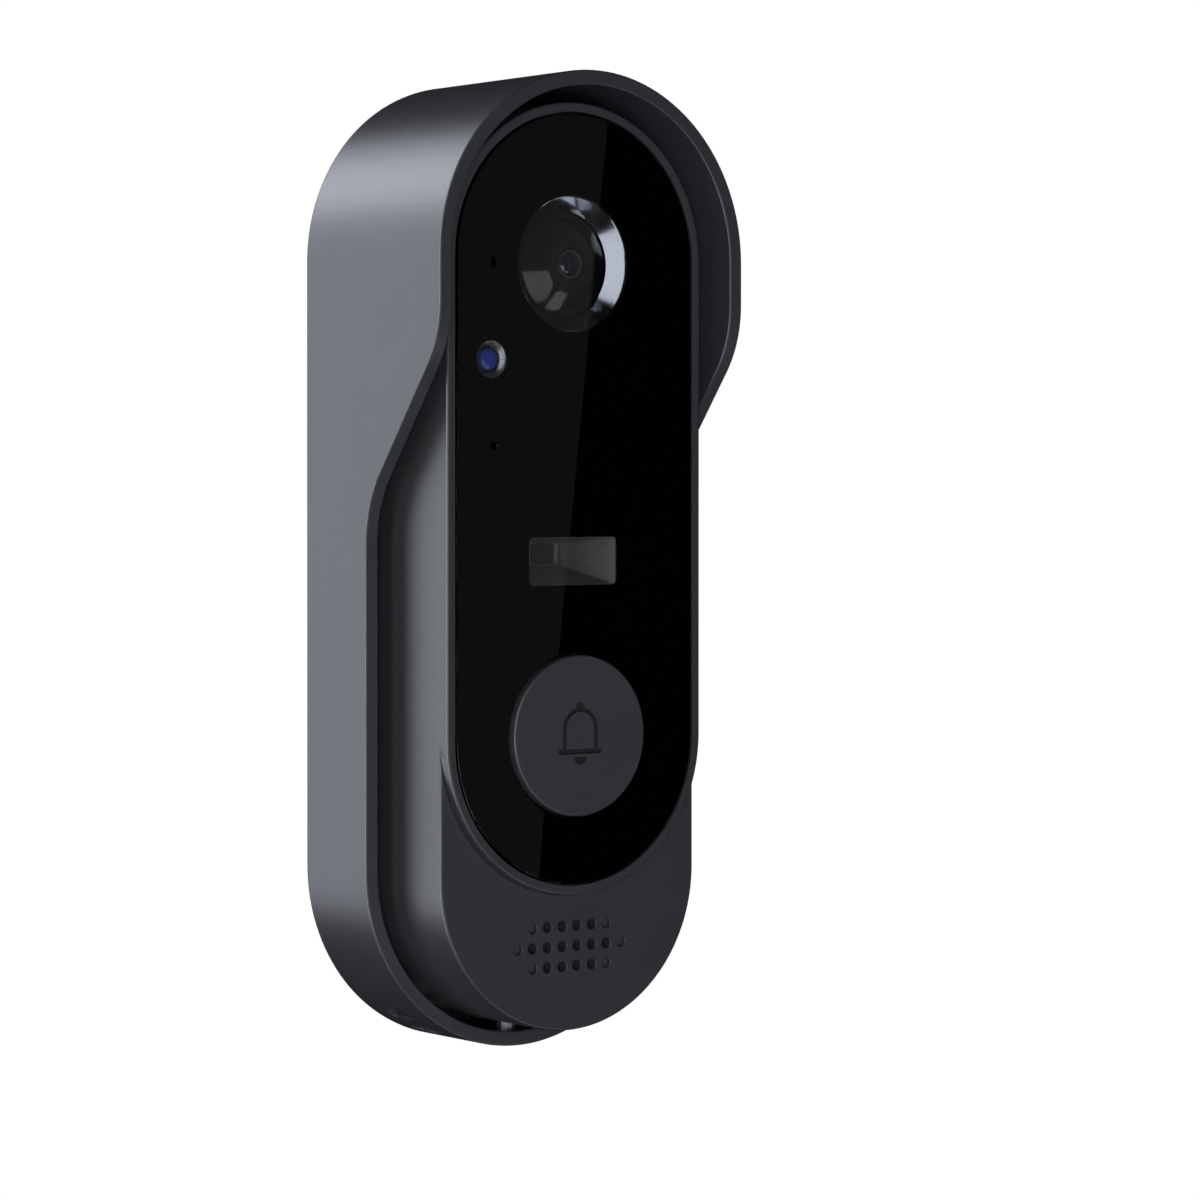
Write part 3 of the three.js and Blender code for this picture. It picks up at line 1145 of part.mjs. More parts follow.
function buildReset() {
  const x = RESET_OFFSET[0];
  const z = BUTTON_Z + RESET_OFFSET[1];
  const flangeBack = COVER_FRONT + THREAD;
  const flangeFront = flangeBack + RESET_FLANGE;
  const stemEnd = flangeBack + RESET_STEM;
  const button = turned(x, z, [
    [0, COVER_BACK + THREAD],
    [RESET_RADIUS, COVER_BACK + THREAD],
    [RESET_RADIUS, flangeBack],
    [RESET_RADIUS + RESET_FLANGE, flangeBack],
    [RESET_RADIUS + RESET_FLANGE, flangeFront],
    [RESET_STEM_RADIUS, flangeFront],
    [RESET_STEM_RADIUS, stemEnd],
    [0, stemEnd],
  ]);
  add('reset_button', button, FINISH.rubber);
  const switchBack = stemEnd + RESET_TRAVEL + THREAD;
  const seat = CHARGE_BOARD_DEPTH - TAPE_GAP;
  add('reset_switch', block(x, z, RESET_SWITCH, RESET_SWITCH, switchBack, seat), FINISH.black);
}

// ---------------------------------------------------------------- assembly

buildRainHood();
buildBracket();
buildSecurityScrew();
buildRearCover();
buildFrontHousing();
buildGlass();
buildCamera();
buildLightSensor();
buildStatusLight();
buildMicrophone();
buildMotionSensor();
buildButton();
buildSwitch();
buildMainBoard();
buildSpeaker();
buildBattery();
buildCharging();
buildReset();

export default model;
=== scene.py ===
"""Looks of a battery video doorbell standing in a deep rain hood.

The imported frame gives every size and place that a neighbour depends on. Pieces are shaped in
millimetres, with x across, z up and "depth" measured out from the wall, and are turned into metres
when they are handed over. Each sub-assembly is a class that shapes its pieces and dresses them.
"""

from __future__ import annotations

import logging
import math
from dataclasses import dataclass, field
from enum import Enum
from typing import Callable, Iterable, Sequence

import bmesh
import bpy
from mathutils import Matrix, Vector

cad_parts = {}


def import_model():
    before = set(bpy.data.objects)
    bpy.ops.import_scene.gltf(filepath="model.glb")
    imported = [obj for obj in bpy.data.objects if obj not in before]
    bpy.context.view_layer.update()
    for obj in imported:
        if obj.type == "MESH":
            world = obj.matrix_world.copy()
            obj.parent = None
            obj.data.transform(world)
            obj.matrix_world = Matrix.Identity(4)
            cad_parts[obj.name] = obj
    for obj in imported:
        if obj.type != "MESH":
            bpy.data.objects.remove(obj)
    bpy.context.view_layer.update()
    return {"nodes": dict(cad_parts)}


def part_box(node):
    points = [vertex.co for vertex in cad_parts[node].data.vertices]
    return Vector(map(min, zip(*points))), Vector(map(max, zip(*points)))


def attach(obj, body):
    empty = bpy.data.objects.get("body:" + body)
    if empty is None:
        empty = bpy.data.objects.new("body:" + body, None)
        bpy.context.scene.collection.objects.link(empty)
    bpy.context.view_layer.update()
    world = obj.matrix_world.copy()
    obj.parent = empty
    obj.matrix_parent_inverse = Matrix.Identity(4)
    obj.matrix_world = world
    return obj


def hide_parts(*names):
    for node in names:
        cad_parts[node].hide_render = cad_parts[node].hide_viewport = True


MM = 0.001
FINE = 1e-3  # corners closer than this, in millimetres, are one corner
FLAT = 1e-4  # faces closer in angle than this, in radians, are one face
PAST = 1.0  # how far a cutter runs past the face it cuts
ROUND_STEPS = 96  # facets round a turned piece
HALF_STEPS = 72  # facets round one end of a long round-ended piece
EDGE_STEPS = 5  # facets across a softened edge
CORNER_STEPS = 8  # facets round a plate's corner
SHARP_ANGLE = math.radians(32)  # faces that meet at more than this show an edge
NOISE_LOW, NOISE_HIGH = 0.3, 0.7  # where most of a noise's values lie
SLIVER = 0.01  # flat left between the two corners of a plate's round end
CAMERA_RADIUS = 10.0  # camera ring's outer radius
SENSOR_RADIUS = 2.75  # light sensor ring's outer radius
BUTTON_HOLE = 12.2  # radius of the button's hole in the glass and the housing
GLASS_BACKING = 2.39  # how far behind the glass the flanges of ring and button stand
HOUSING = "housing"

log = logging.getLogger("doorbell")


# ---------------------------------------------------------------- reading the frame


@dataclass(frozen=True)
class Extent:
    """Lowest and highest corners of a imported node, in millimetres."""

    low: Vector
    high: Vector

    @classmethod
    def of(cls, node: str) -> Extent:
        """Reads a node's box from the frame.

        Args:
            node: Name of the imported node.

        Returns:
            Its extent in millimetres.
        """
        low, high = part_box(node)
        return cls(low / MM, high / MM)

    @property
    def middle(self) -> Vector:
        """Middle of the box."""
        return (self.low + self.high) / 2

    @property
    def size(self) -> Vector:
        """Size of the box."""
        return self.high - self.low

    @property
    def front(self) -> float:
        """Depth of its foremost face."""
        return -self.low.y

    @property
    def back(self) -> float:
        """Depth of its rearmost face."""
        return -self.high.y

    @property
    def half_width(self) -> float:
        """Half of its width."""
        return self.size.x / 2


# ---------------------------------------------------------------- finishes


class Graph:
    """Short calls for building one material's nodes."""

    def __init__(self, name: str) -> None:
        """Starts an empty node tree with a Principled shader.

        Args:
            name: Name of the material.
        """
        self.material = bpy.data.materials.new(name)
        self.material.use_nodes = True
        self.tree = self.material.node_tree
        self.tree.nodes.clear()
        self.output = self.add("ShaderNodeOutputMaterial")
        self.shader = self.add("ShaderNodeBsdfPrincipled")
        self.link(self.shader, "BSDF", self.output, "Surface")
        self.place = self.add("ShaderNodeTexCoord")

    def add(self, kind: str, **settings: object) -> bpy.types.Node:
        """Adds one node.

        Args:
            kind: Blender's name for the node type.
            settings: Attributes set on the node.

        Returns:
            The new node.
        """
        node = self.tree.nodes.new(kind)
        for key, value in settings.items():
            setattr(node, key, value)
        return node

    def link(self, source: bpy.types.Node, out: str | int, target: bpy.types.Node, into: str | int) -> None:
        """Joins an output to an input."""
        self.tree.links.new(source.outputs[out], target.inputs[into])

    def noise(self, size: float, detail: float = 3.0, stretch: Sequence[float] = (1, 1, 1)) -> bpy.types.Node:
        """Adds noise in the piece's own coordinates.

        Args:
            size: Size of its features in millimetres.
            detail: Finer octaves laid over it.
            stretch: How many times longer the features are along x, y and z.

        Returns:
            The noise node.
        """
        spread = self.add("ShaderNodeMapping")
        spread.inputs["Scale"].default_value = [1 / (size * MM * s) for s in stretch]
        node = self.add("ShaderNodeTexNoise")
        node.inputs["Scale"].default_value = 1.0
        node.inputs["Detail"].default_value = detail
        self.link(self.place, "Object", spread, "Vector")
        self.link(spread, "Vector", node, "Vector")
        return node

    def ranged(self, source: bpy.types.Node, out: str | int, low: float, high: float) -> bpy.types.Node:
        """Maps the useful middle of a noise to a range.

        Args:
            source: Node whose output is mapped.
            out: Its output.
            low: Value at the noise's low end.
            high: Value at its high end.

        Returns:
            The mapping node, whose output is "Result".
        """
        node = self.add("ShaderNodeMapRange")
        node.inputs["From Min"].default_value = NOISE_LOW
        node.inputs["From Max"].default_value = NOISE_HIGH
        node.inputs["To Min"].default_value = low
        node.inputs["To Max"].default_value = high
        self.link(source, out, node, "Value")
        return node

    def tinted(
        self, source: bpy.types.Node, out: str | int, colours: Sequence[Sequence[float]]
    ) -> bpy.types.Node:
        """Runs a value through evenly spread colours.

        Args:
            source: Node whose output picks the colour.
            out: Its output.
            colours: Linear colours from the low end to the high end.

        Returns:
            The ramp node, whose output is "Color".
        """
        ramp = self.add("ShaderNodeValToRGB")
        stops = ramp.color_ramp.elements
        stops[0].position, stops[1].position = NOISE_LOW, NOISE_HIGH
        stops[0].color = (*colours[0], 1)
        stops[1].color = (*colours[-1], 1)
        for i, colour in enumerate(colours[1:-1], 1):
            stop = stops.new(NOISE_LOW + (NOISE_HIGH - NOISE_LOW) * i / (len(colours) - 1))
            stop.color = (*colour, 1)
        self.link(source, out, ramp, "Fac")
        return ramp

    def bump(self, source: bpy.types.Node, out: str | int, depth: float) -> bpy.types.Node:
        """Raises the surface by a value.

        Args:
            source: Node whose output is the height.
            out: Its output.
            depth: Height of the relief in millimetres.

        Returns:
            The bump node, already joined to the shader.
        """
        node = self.add("ShaderNodeBump")
        node.inputs["Strength"].default_value = 1.0
        node.inputs["Distance"].default_value = depth * MM
        self.link(source, out, node, "Height")
        self.link(node, "Normal", self.shader, "Normal")
        return node


@dataclass(frozen=True)
class Moulded:
    """A moulded plastic or rubber with an even, finely sparked skin."""

    name: str
    tint: tuple[float, float, float]
    roughness: float
    grain: float = 0.16
    relief: float = 0.0012
    mottle: float = 0.05
    specular: float = 0.5
    cloud: float = 9.0
    speck: float = 0.07
    sheen: float = 0.03

    def material(self) -> bpy.types.Material:
        """Makes the material: cloudy colour, fine grain in the gloss, and a faint relief."""
        graph = Graph(self.name)
        cloud = graph.noise(self.cloud, 2.0)
        grain = graph.noise(self.grain, 2.0)
        darker = [c * (1 - self.mottle) for c in self.tint]
        lighter = [c * (1 + self.mottle) for c in self.tint]
        ramp = graph.tinted(cloud, "Fac", [darker, self.tint, lighter])
        speck = graph.add("ShaderNodeMixRGB", blend_type="MULTIPLY")
        speck.inputs["Fac"].default_value = 1.0
        shade = graph.ranged(grain, "Fac", 1 - self.speck, 1 + self.speck)
        graph.link(ramp, "Color", speck, "Color1")
        graph.link(shade, "Result", speck, "Color2")
        graph.link(speck, "Color", graph.shader, "Base Color")
        gloss = graph.ranged(grain, "Fac", self.roughness - self.sheen, self.roughness + self.sheen)
        graph.link(gloss, "Result", graph.shader, "Roughness")
        graph.bump(grain, "Fac", self.relief)
        graph.shader.inputs["Specular IOR Level"].default_value = self.specular
        return graph.material


@dataclass(frozen=True)
class Metal:
    """A bare metal with fine drawn or turned lines and faint stains."""

    name: str
    tint: tuple[float, float, float]
    roughness: float
    line: float = 0.05
    stretch: tuple[float, float, float] = (1, 1, 1)
    relief: float = 0.0006
    stain: float = 5.0
    stained: float = 0.9
    sheen: tuple[float, float] = (0.8, 1.25)

    def material(self) -> bpy.types.Material:
        """Makes the material: metallic, with lines in the gloss and the relief."""
        graph = Graph(self.name)
        lines = graph.noise(self.line, 2.0, self.stretch)
        stain = graph.noise(self.stain)
        dull = [c * self.stained for c in self.tint]
        ramp = graph.tinted(stain, "Fac", [dull, self.tint])
        graph.link(ramp, "Color", graph.shader, "Base Color")
        gloss = graph.ranged(lines, "Fac", *(self.roughness * share for share in self.sheen))
        graph.link(gloss, "Result", graph.shader, "Roughness")
        graph.bump(lines, "Fac", self.relief)
        graph.shader.inputs["Metallic"].default_value = 1.0
        return graph.material


@dataclass(frozen=True)
class Gloss:
    """A hard black or coloured surface polished smooth, with dust-fine waviness."""

    name: str
    tint: tuple[float, float, float]
    roughness: float
    specular: float = 0.5
    coat: float = 0.0
    haze: float = 4.0
    paler: float = 1.15
    sheen: tuple[float, float] = (0.85, 1.2)
    relief: float = 0.0002

    def material(self) -> bpy.types.Material:
        """Makes the material: smooth gloss with a slight haze that wanders."""
        graph = Graph(self.name)
        haze = graph.noise(self.haze, 2.0)
        lighter = [min(1.0, c * self.paler) for c in self.tint]
        ramp = graph.tinted(haze, "Fac", [self.tint, lighter])
        graph.link(ramp, "Color", graph.shader, "Base Color")
        gloss = graph.ranged(haze, "Fac", *(self.roughness * share for share in self.sheen))
        graph.link(gloss, "Result", graph.shader, "Roughness")
        graph.bump(haze, "Fac", self.relief)
        graph.shader.inputs["Specular IOR Level"].default_value = self.specular
        graph.shader.inputs["Coat Weight"].default_value = self.coat
        return graph.material


@dataclass(frozen=True)
class ClearGlass:
    """A clear glass that lets light through to what it shuts in."""

    name: str
    tint: tuple[float, float, float]
    ior: float = 1.45
    smear: float = 14.0
    dimmer: float = 0.97

    def material(self) -> bpy.types.Material:
        """Makes the material: smooth transmission, and open to shadow rays."""
        graph = Graph(self.name)
        smear = graph.noise(self.smear, 2.0)
        darker = [c * self.dimmer for c in self.tint]
        ramp = graph.tinted(smear, "Fac", [darker, self.tint])
        graph.link(ramp, "Color", graph.shader, "Base Color")
        graph.shader.inputs["Transmission Weight"].default_value = 1.0
        graph.shader.inputs["Roughness"].default_value = 0.0
        graph.shader.inputs["IOR"].default_value = self.ior
        open_way = graph.add("ShaderNodeBsdfTransparent")
        path = graph.add("ShaderNodeLightPath")
        mix = graph.add("ShaderNodeMixShader")
        graph.link(path, "Is Shadow Ray", mix, "Fac")
        graph.link(graph.shader, "BSDF", mix, 1)
        graph.link(open_way, "BSDF", mix, 2)
        graph.link(mix, "Shader", graph.output, "Surface")
        return graph.material


@dataclass(frozen=True)
class Laminate:
    """A circuit board: glossy solder mask over copper tracks."""

    name: str
    mask: tuple[float, float, float]
    track: tuple[float, float, float]
    pitch: float = 2.4
    track_edge: tuple[float, float] = (0.05, 0.09)
    weave: float = 0.5
    sheen: tuple[float, float] = (0.28, 0.42)
    relief: float = 0.02

    def material(self) -> bpy.types.Material:
        """Makes the material: a net of tracks under a glossy mask."""
        graph = Graph(self.name)
        spread = graph.add("ShaderNodeMapping")
        spread.inputs["Scale"].default_value = [1 / (self.pitch * MM)] * 3
        tracks = graph.add("ShaderNodeTexVoronoi", feature="DISTANCE_TO_EDGE", distance="CHEBYCHEV")
        tracks.inputs["Scale"].default_value = 1.0
        graph.link(graph.place, "Object", spread, "Vector")
        graph.link(spread, "Vector", tracks, "Vector")
        ramp = graph.add("ShaderNodeValToRGB")
        ramp.color_ramp.interpolation = "EASE"
        low, high = ramp.color_ramp.elements
        low.position, high.position = self.track_edge
        low.color, high.color = (*self.track, 1), (*self.mask, 1)
        graph.link(tracks, "Distance", ramp, "Fac")
        graph.link(ramp, "Color", graph.shader, "Base Color")
        weave = graph.noise(self.weave, 2.0)
        gloss = graph.ranged(weave, "Fac", *self.sheen)
        graph.link(gloss, "Result", graph.shader, "Roughness")
        graph.bump(tracks, "Distance", self.relief)
        return graph.material


class Finish(Enum):
    """Every finish on the doorbell."""

    HOOD = Moulded("hood_plastic", (0.046, 0.048, 0.055), 0.36)
    SHELL = Moulded("housing_plastic", (0.045, 0.047, 0.052), 0.36, specular=0.5)
    CAP = Moulded("button_plastic", (0.046, 0.048, 0.054), 0.45)
    INNER = Moulded("inner_plastic", (0.012, 0.012, 0.013), 0.6, grain=0.3, relief=0.004)
    MASK = Moulded("black_print", (0.0004, 0.0004, 0.0004), 0.9, grain=0.2, specular=0.0)
    FUNNEL = Gloss("funnel_plastic", (0.06, 0.06, 0.063), 0.3, specular=0.45)
    RUBBER = Moulded("rubber", (0.014, 0.014, 0.015), 0.75, grain=0.4, relief=0.006, specular=0.35)
    GLASS = ClearGlass("front_glass_clear", (0.97, 0.975, 0.985))
    POLISHED = Metal("polished_ring", (0.4, 0.405, 0.43), 0.3, line=0.3, relief=0.00002)
    SILVER = Metal("sensor_ring", (0.45, 0.46, 0.48), 0.3, line=0.3, relief=0.00003)
    STEEL = Metal("plated_steel", (0.55, 0.56, 0.58), 0.32, line=0.08, stretch=(8, 1, 1))
    BRASS = Metal("brass", (0.68, 0.48, 0.2), 0.3)
    FOIL = Metal("copper_film", (0.72, 0.42, 0.22), 0.35)
    DOME = Gloss("dome_black", (0.0035, 0.0035, 0.004), 0.1)
    LENS_RING = Gloss("lens_ring", (0.02, 0.021, 0.023), 0.3, specular=0.35)
    LENS = Gloss("lens_coating", (0.006, 0.007, 0.012), 0.03, specular=0.9, coat=1.0)
    SENSOR_BLUE = Gloss("sensor_blue", (0.001, 0.016, 0.33), 0.25, specular=0.12)
    WINDOW = Gloss("sensor_window", (0.014, 0.014, 0.016), 0.25)
    CHIP = Moulded("chip_resin", (0.02, 0.02, 0.022), 0.5, grain=0.12)
    BOARD = Laminate("circuit_board", (0.006, 0.05, 0.022), (0.012, 0.11, 0.045))
    DIFFUSER = Moulded("clear_plastic", (0.62, 0.64, 0.66), 0.3, grain=0.5, relief=0.001)
    CELL = Moulded("cell_wrap", (0.03, 0.15, 0.32), 0.35, grain=1.5, relief=0.01)
    PAPER = Moulded("speaker_paper", (0.03, 0.029, 0.028), 0.85, grain=0.35, relief=0.02)

    def material(self) -> bpy.types.Material:
        """The finish's material, made once."""
        found = bpy.data.materials.get(self.value.name)
        return found or self.value.material()


# ---------------------------------------------------------------- shaping


@dataclass(frozen=True)
class Corner:
    """A corner of a profile: distance from the centre line, depth, and the radius that softens it."""

    radius: float
    depth: float
    soft: float = 0.0


Profile = Sequence[Corner]


def softened(profile: Profile) -> list[tuple[float, float]]:
    """Rounds a profile's corners by their own radii.

    Args:
        profile: Corners in order, its ends included.

    Returns:
        Points of the softened profile, as radius and depth.
    """
    points = [Vector((c.radius, c.depth)) for c in profile]
    result: list[tuple[float, float]] = []
    for i, corner in enumerate(profile):
        point = points[i]
        if corner.soft == 0 or i in (0, len(profile) - 1):
            result.append(tuple(point))
            continue
        before = (points[i - 1] - point).normalized()
        after = (points[i + 1] - point).normalized()
        half = before.angle(after) / 2
        centre = point + (before + after).normalized() * corner.soft / math.sin(half)
        start = point + before * corner.soft / math.tan(half) - centre
        end = point + after * corner.soft / math.tan(half) - centre
        sweep = start.angle_signed(end)
        for step in range(EDGE_STEPS + 1):
            turn = Matrix.Rotation(-sweep * step / EDGE_STEPS, 2)
            result.append(tuple(centre + turn @ start))
    return result


class Blank:
    """A closed solid being shaped, in millimetres."""

    def __init__(self, mesh: bmesh.types.BMesh) -> None:
        """Takes over a bmesh.

        Args:
            mesh: The solid so far.
        """
        self.mesh = mesh

    @classmethod
    def turned(
        cls, x: float, z: float, profile: Profile, steps: int = ROUND_STEPS, looped: bool = False
    ) -> Blank:
        """Turns a profile round a front-to-back line.

        Args:
            x: Where the line is across the width.
            z: Height of the line.
            profile: Corners from the line and back to it, or all round a ring.
            steps: Facets round it.
            looped: Whether the profile closes on itself, as a ring's does.

        Returns:
            The turned solid.
        """
        mesh = bmesh.new()
        verts, edges = cls._chain(mesh, profile, x, z, looped)
        bmesh.ops.spin(
            mesh, geom=verts + edges, cent=(x, 0, z), axis=(0, -1, 0), angle=2 * math.pi, steps=steps,
            use_merge=True,
        )
        return cls._healed(mesh)

    @classmethod
    def track(
        cls, profile: Profile, top_z: float, low_z: float, stops: Sequence[float] = (), looped: bool = False
    ) -> Blank:
        """Runs a profile round a long shape with two round ends.

        Args:
            profile: Corners measured from the centre line between the two ends.
            top_z: Height of the upper round's centre.
            low_z: Height of the lower round's centre.
            stops: Heights, from the top down, where the straight sides get a row of corners.
            looped: Whether the profile closes on itself.

        Returns:
            The solid.
        """
        mesh = bmesh.new()
        verts, edges = cls._chain(mesh, profile, 0, top_z, looped)
        ends = verts + edges
        for centre, heights in ((top_z, [*stops, low_z]), (low_z, [*reversed(stops), top_z])):
            spun = bmesh.ops.spin(
                mesh, geom=ends, cent=(0, 0, centre), axis=(0, -1, 0), angle=math.pi, steps=HALF_STEPS
            )
            ends = spun["geom_last"]
            level = centre
            for height in heights:
                rows = [e for e in ends if isinstance(e, bmesh.types.BMEdge)]
                drawn = bmesh.ops.extrude_edge_only(mesh, edges=rows)["geom"]
                moved = [v for v in drawn if isinstance(v, bmesh.types.BMVert)]
                bmesh.ops.translate(mesh, verts=moved, vec=(0, 0, height - level))
                ends = [e for e in drawn if not isinstance(e, bmesh.types.BMFace)]
                level = height
        return cls._healed(mesh)

    @classmethod
    def plate(
        cls, x: float, z: float, width: float, height: float, back: float, front: float, corner: float
    ) -> Blank:
        """Makes a plate with rounded corners.

        Args:
            x: Where its middle is across the width.
            z: Height of its middle.
            width: Its size along x.
            height: Its size along z.
            back: Depth of its rear face.
            front: Depth of its front face.
            corner: Radius of its four corners.

        Returns:
            The plate.
        """
        mesh = bmesh.new()
        bmesh.ops.create_cube(mesh, size=1)
        bmesh.ops.scale(mesh, vec=(width, front - back, height), verts=mesh.verts)
        bmesh.ops.translate(mesh, vec=(x, -(front + back) / 2, z), verts=mesh.verts)
        upright = [e for e in mesh.edges if abs(e.verts[0].co.y - e.verts[1].co.y) > FINE]
        bmesh.ops.bevel(
            mesh, geom=upright, offset=corner, offset_type="OFFSET", affect="EDGES", segments=CORNER_STEPS,
            profile=0.5, material=-1, clamp_overlap=True,
        )
        return cls._healed(mesh)

    @staticmethod
    def _chain(
        mesh: bmesh.types.BMesh, profile: Profile, x: float, z: float, looped: bool
    ) -> tuple[list[bmesh.types.BMVert], list[bmesh.types.BMEdge]]:
        """Lays a softened profile down as a row of corners joined by edges."""
        verts = [mesh.verts.new((x + radius, -depth, z)) for radius, depth in softened(profile)]
        pairs = list(zip(verts, verts[1:]))
        if looped:
            pairs.append((verts[-1], verts[0]))
        return verts, [mesh.edges.new(pair) for pair in pairs]

    @classmethod
    def _healed(cls, mesh: bmesh.types.BMesh) -> Blank:
        """Closes the seams and poles and turns all faces outwards."""
        bmesh.ops.remove_doubles(mesh, verts=mesh.verts, dist=FINE)
        bmesh.ops.dissolve_degenerate(mesh, edges=mesh.edges, dist=FINE)
        bmesh.ops.dissolve_limit(mesh, angle_limit=FLAT, verts=mesh.verts, edges=mesh.edges)
        bmesh.ops.recalc_face_normals(mesh, faces=mesh.faces)
        return cls(mesh)

    def turn(self, degrees: float, centre: Sequence[float], axis: str) -> Blank:
        """Turns the solid about a point, and returns it.

        Args:
            degrees: Angle, by the right-hand rule.
            centre: Point it turns about.
            axis: X, Y or Z.

        Returns:
            The same blank.
        """
        spin = Matrix.Rotation(math.radians(degrees), 3, axis)
        bmesh.ops.rotate(self.mesh, cent=centre, matrix=spin, verts=self.mesh.verts)
        return self

    def reshape(self, move: Callable[[Vector], Vector]) -> Blank:
        """Moves every corner through a function of its place, and returns the blank."""
        for vert in self.mesh.verts:
            vert.co = move(vert.co)
        return self

    def gather(self, others: Iterable[Blank]) -> Blank:
        """Adds other blanks' surfaces without joining them, and returns this one."""
        for other in others:
            scrap = other._scrap("scrap")
            self.mesh.from_mesh(scrap.data)
            self._discard(scrap)
        return self

    def cut(self, *others: Blank) -> Blank:
        """Cuts other solids out of this one, one after the other, and returns it."""
        return self._combine("DIFFERENCE", others)

    def join(self, *others: Blank) -> Blank:
        """Joins other solids to this one, and returns it."""
        return self._combine("UNION", others)

    def _combine(self, operation: str, others: Iterable[Blank]) -> Blank:
        """Applies one exact boolean for each other solid."""
        base = self._scrap("base")
        tools = [other._scrap("tool") for other in others]
        for tool in tools:
            modifier = base.modifiers.new("combine", "BOOLEAN")
            modifier.operation = operation
            modifier.solver = "EXACT"
            modifier.object = tool
        bpy.context.view_layer.update()
        shaped = base.evaluated_get(bpy.context.evaluated_depsgraph_get()).to_mesh()
        self.mesh = bmesh.new()
        self.mesh.from_mesh(shaped)
        for scrap in [base, *tools]:
            self._discard(scrap)
        bmesh.ops.remove_doubles(self.mesh, verts=self.mesh.verts, dist=FINE)
        return self

    def _scrap(self, name: str) -> bpy.types.Object:
        """Hands the bmesh over to a throwaway object."""
        data = bpy.data.meshes.new(name)
        self.mesh.to_mesh(data)
        self.mesh.free()
        scrap = bpy.data.objects.new(name, data)
        bpy.context.scene.collection.objects.link(scrap)
        return scrap

    @staticmethod
    def _discard(scrap: bpy.types.Object) -> None:
        """Removes a throwaway object with its mesh."""
        data = scrap.data
        bpy.data.objects.remove(scrap)
        bpy.data.meshes.remove(data)

    def finished(
        self, name: str, finish: Finish, slot: str, body: str = HOUSING, node: str = ""
    ) -> bpy.types.Object:
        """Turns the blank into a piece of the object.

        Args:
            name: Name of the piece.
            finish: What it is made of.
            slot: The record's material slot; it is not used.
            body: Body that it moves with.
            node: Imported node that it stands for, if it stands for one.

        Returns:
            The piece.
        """
        bmesh.ops.scale(self.mesh, vec=(MM, MM, MM), verts=self.mesh.verts)
        for face in self.mesh.faces:
            face.smooth = True
        data = bpy.data.meshes.new(name)
        self.mesh.to_mesh(data)
        self.mesh.free()
        data.set_sharp_from_angle(angle=SHARP_ANGLE)
        data.materials.append(finish.material())
        piece = bpy.data.objects.new(name, data)
        bpy.context.scene.collection.objects.link(piece)
        weighted = piece.modifiers.new("even_shading", "WEIGHTED_NORMAL")
        weighted.keep_sharp = True
        weighted.weight = 100
        if node:
            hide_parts(node)
        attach(piece, body)
        return piece


def hole(
    x: float, z: float, radius: float, back: float, front: float, flare: float = 0.0, steps: int = 32
) -> Blank:
    """A round cutter, opened out where it leaves the front face.

    Args:
        x: Where its middle is across the width.
        z: Height of its middle.
        radius: Radius of the hole.
        back: Depth where it starts.
        front: Depth of the face it leaves by.
        flare: Width of the broken edge.
        steps: Facets round it.

    Returns:
        The cutter.
    """
    profile = [Corner(0, back), Corner(radius, back)]
    if flare:
        profile += [Corner(radius, front - flare), Corner(radius + flare + PAST, front + PAST)]
    else:
        profile.append(Corner(radius, front + PAST))
    profile.append(Corner(0, front + PAST))
    return Blank.turned(x, z, profile, steps)


# ---------------------------------------------------------------- rain hood


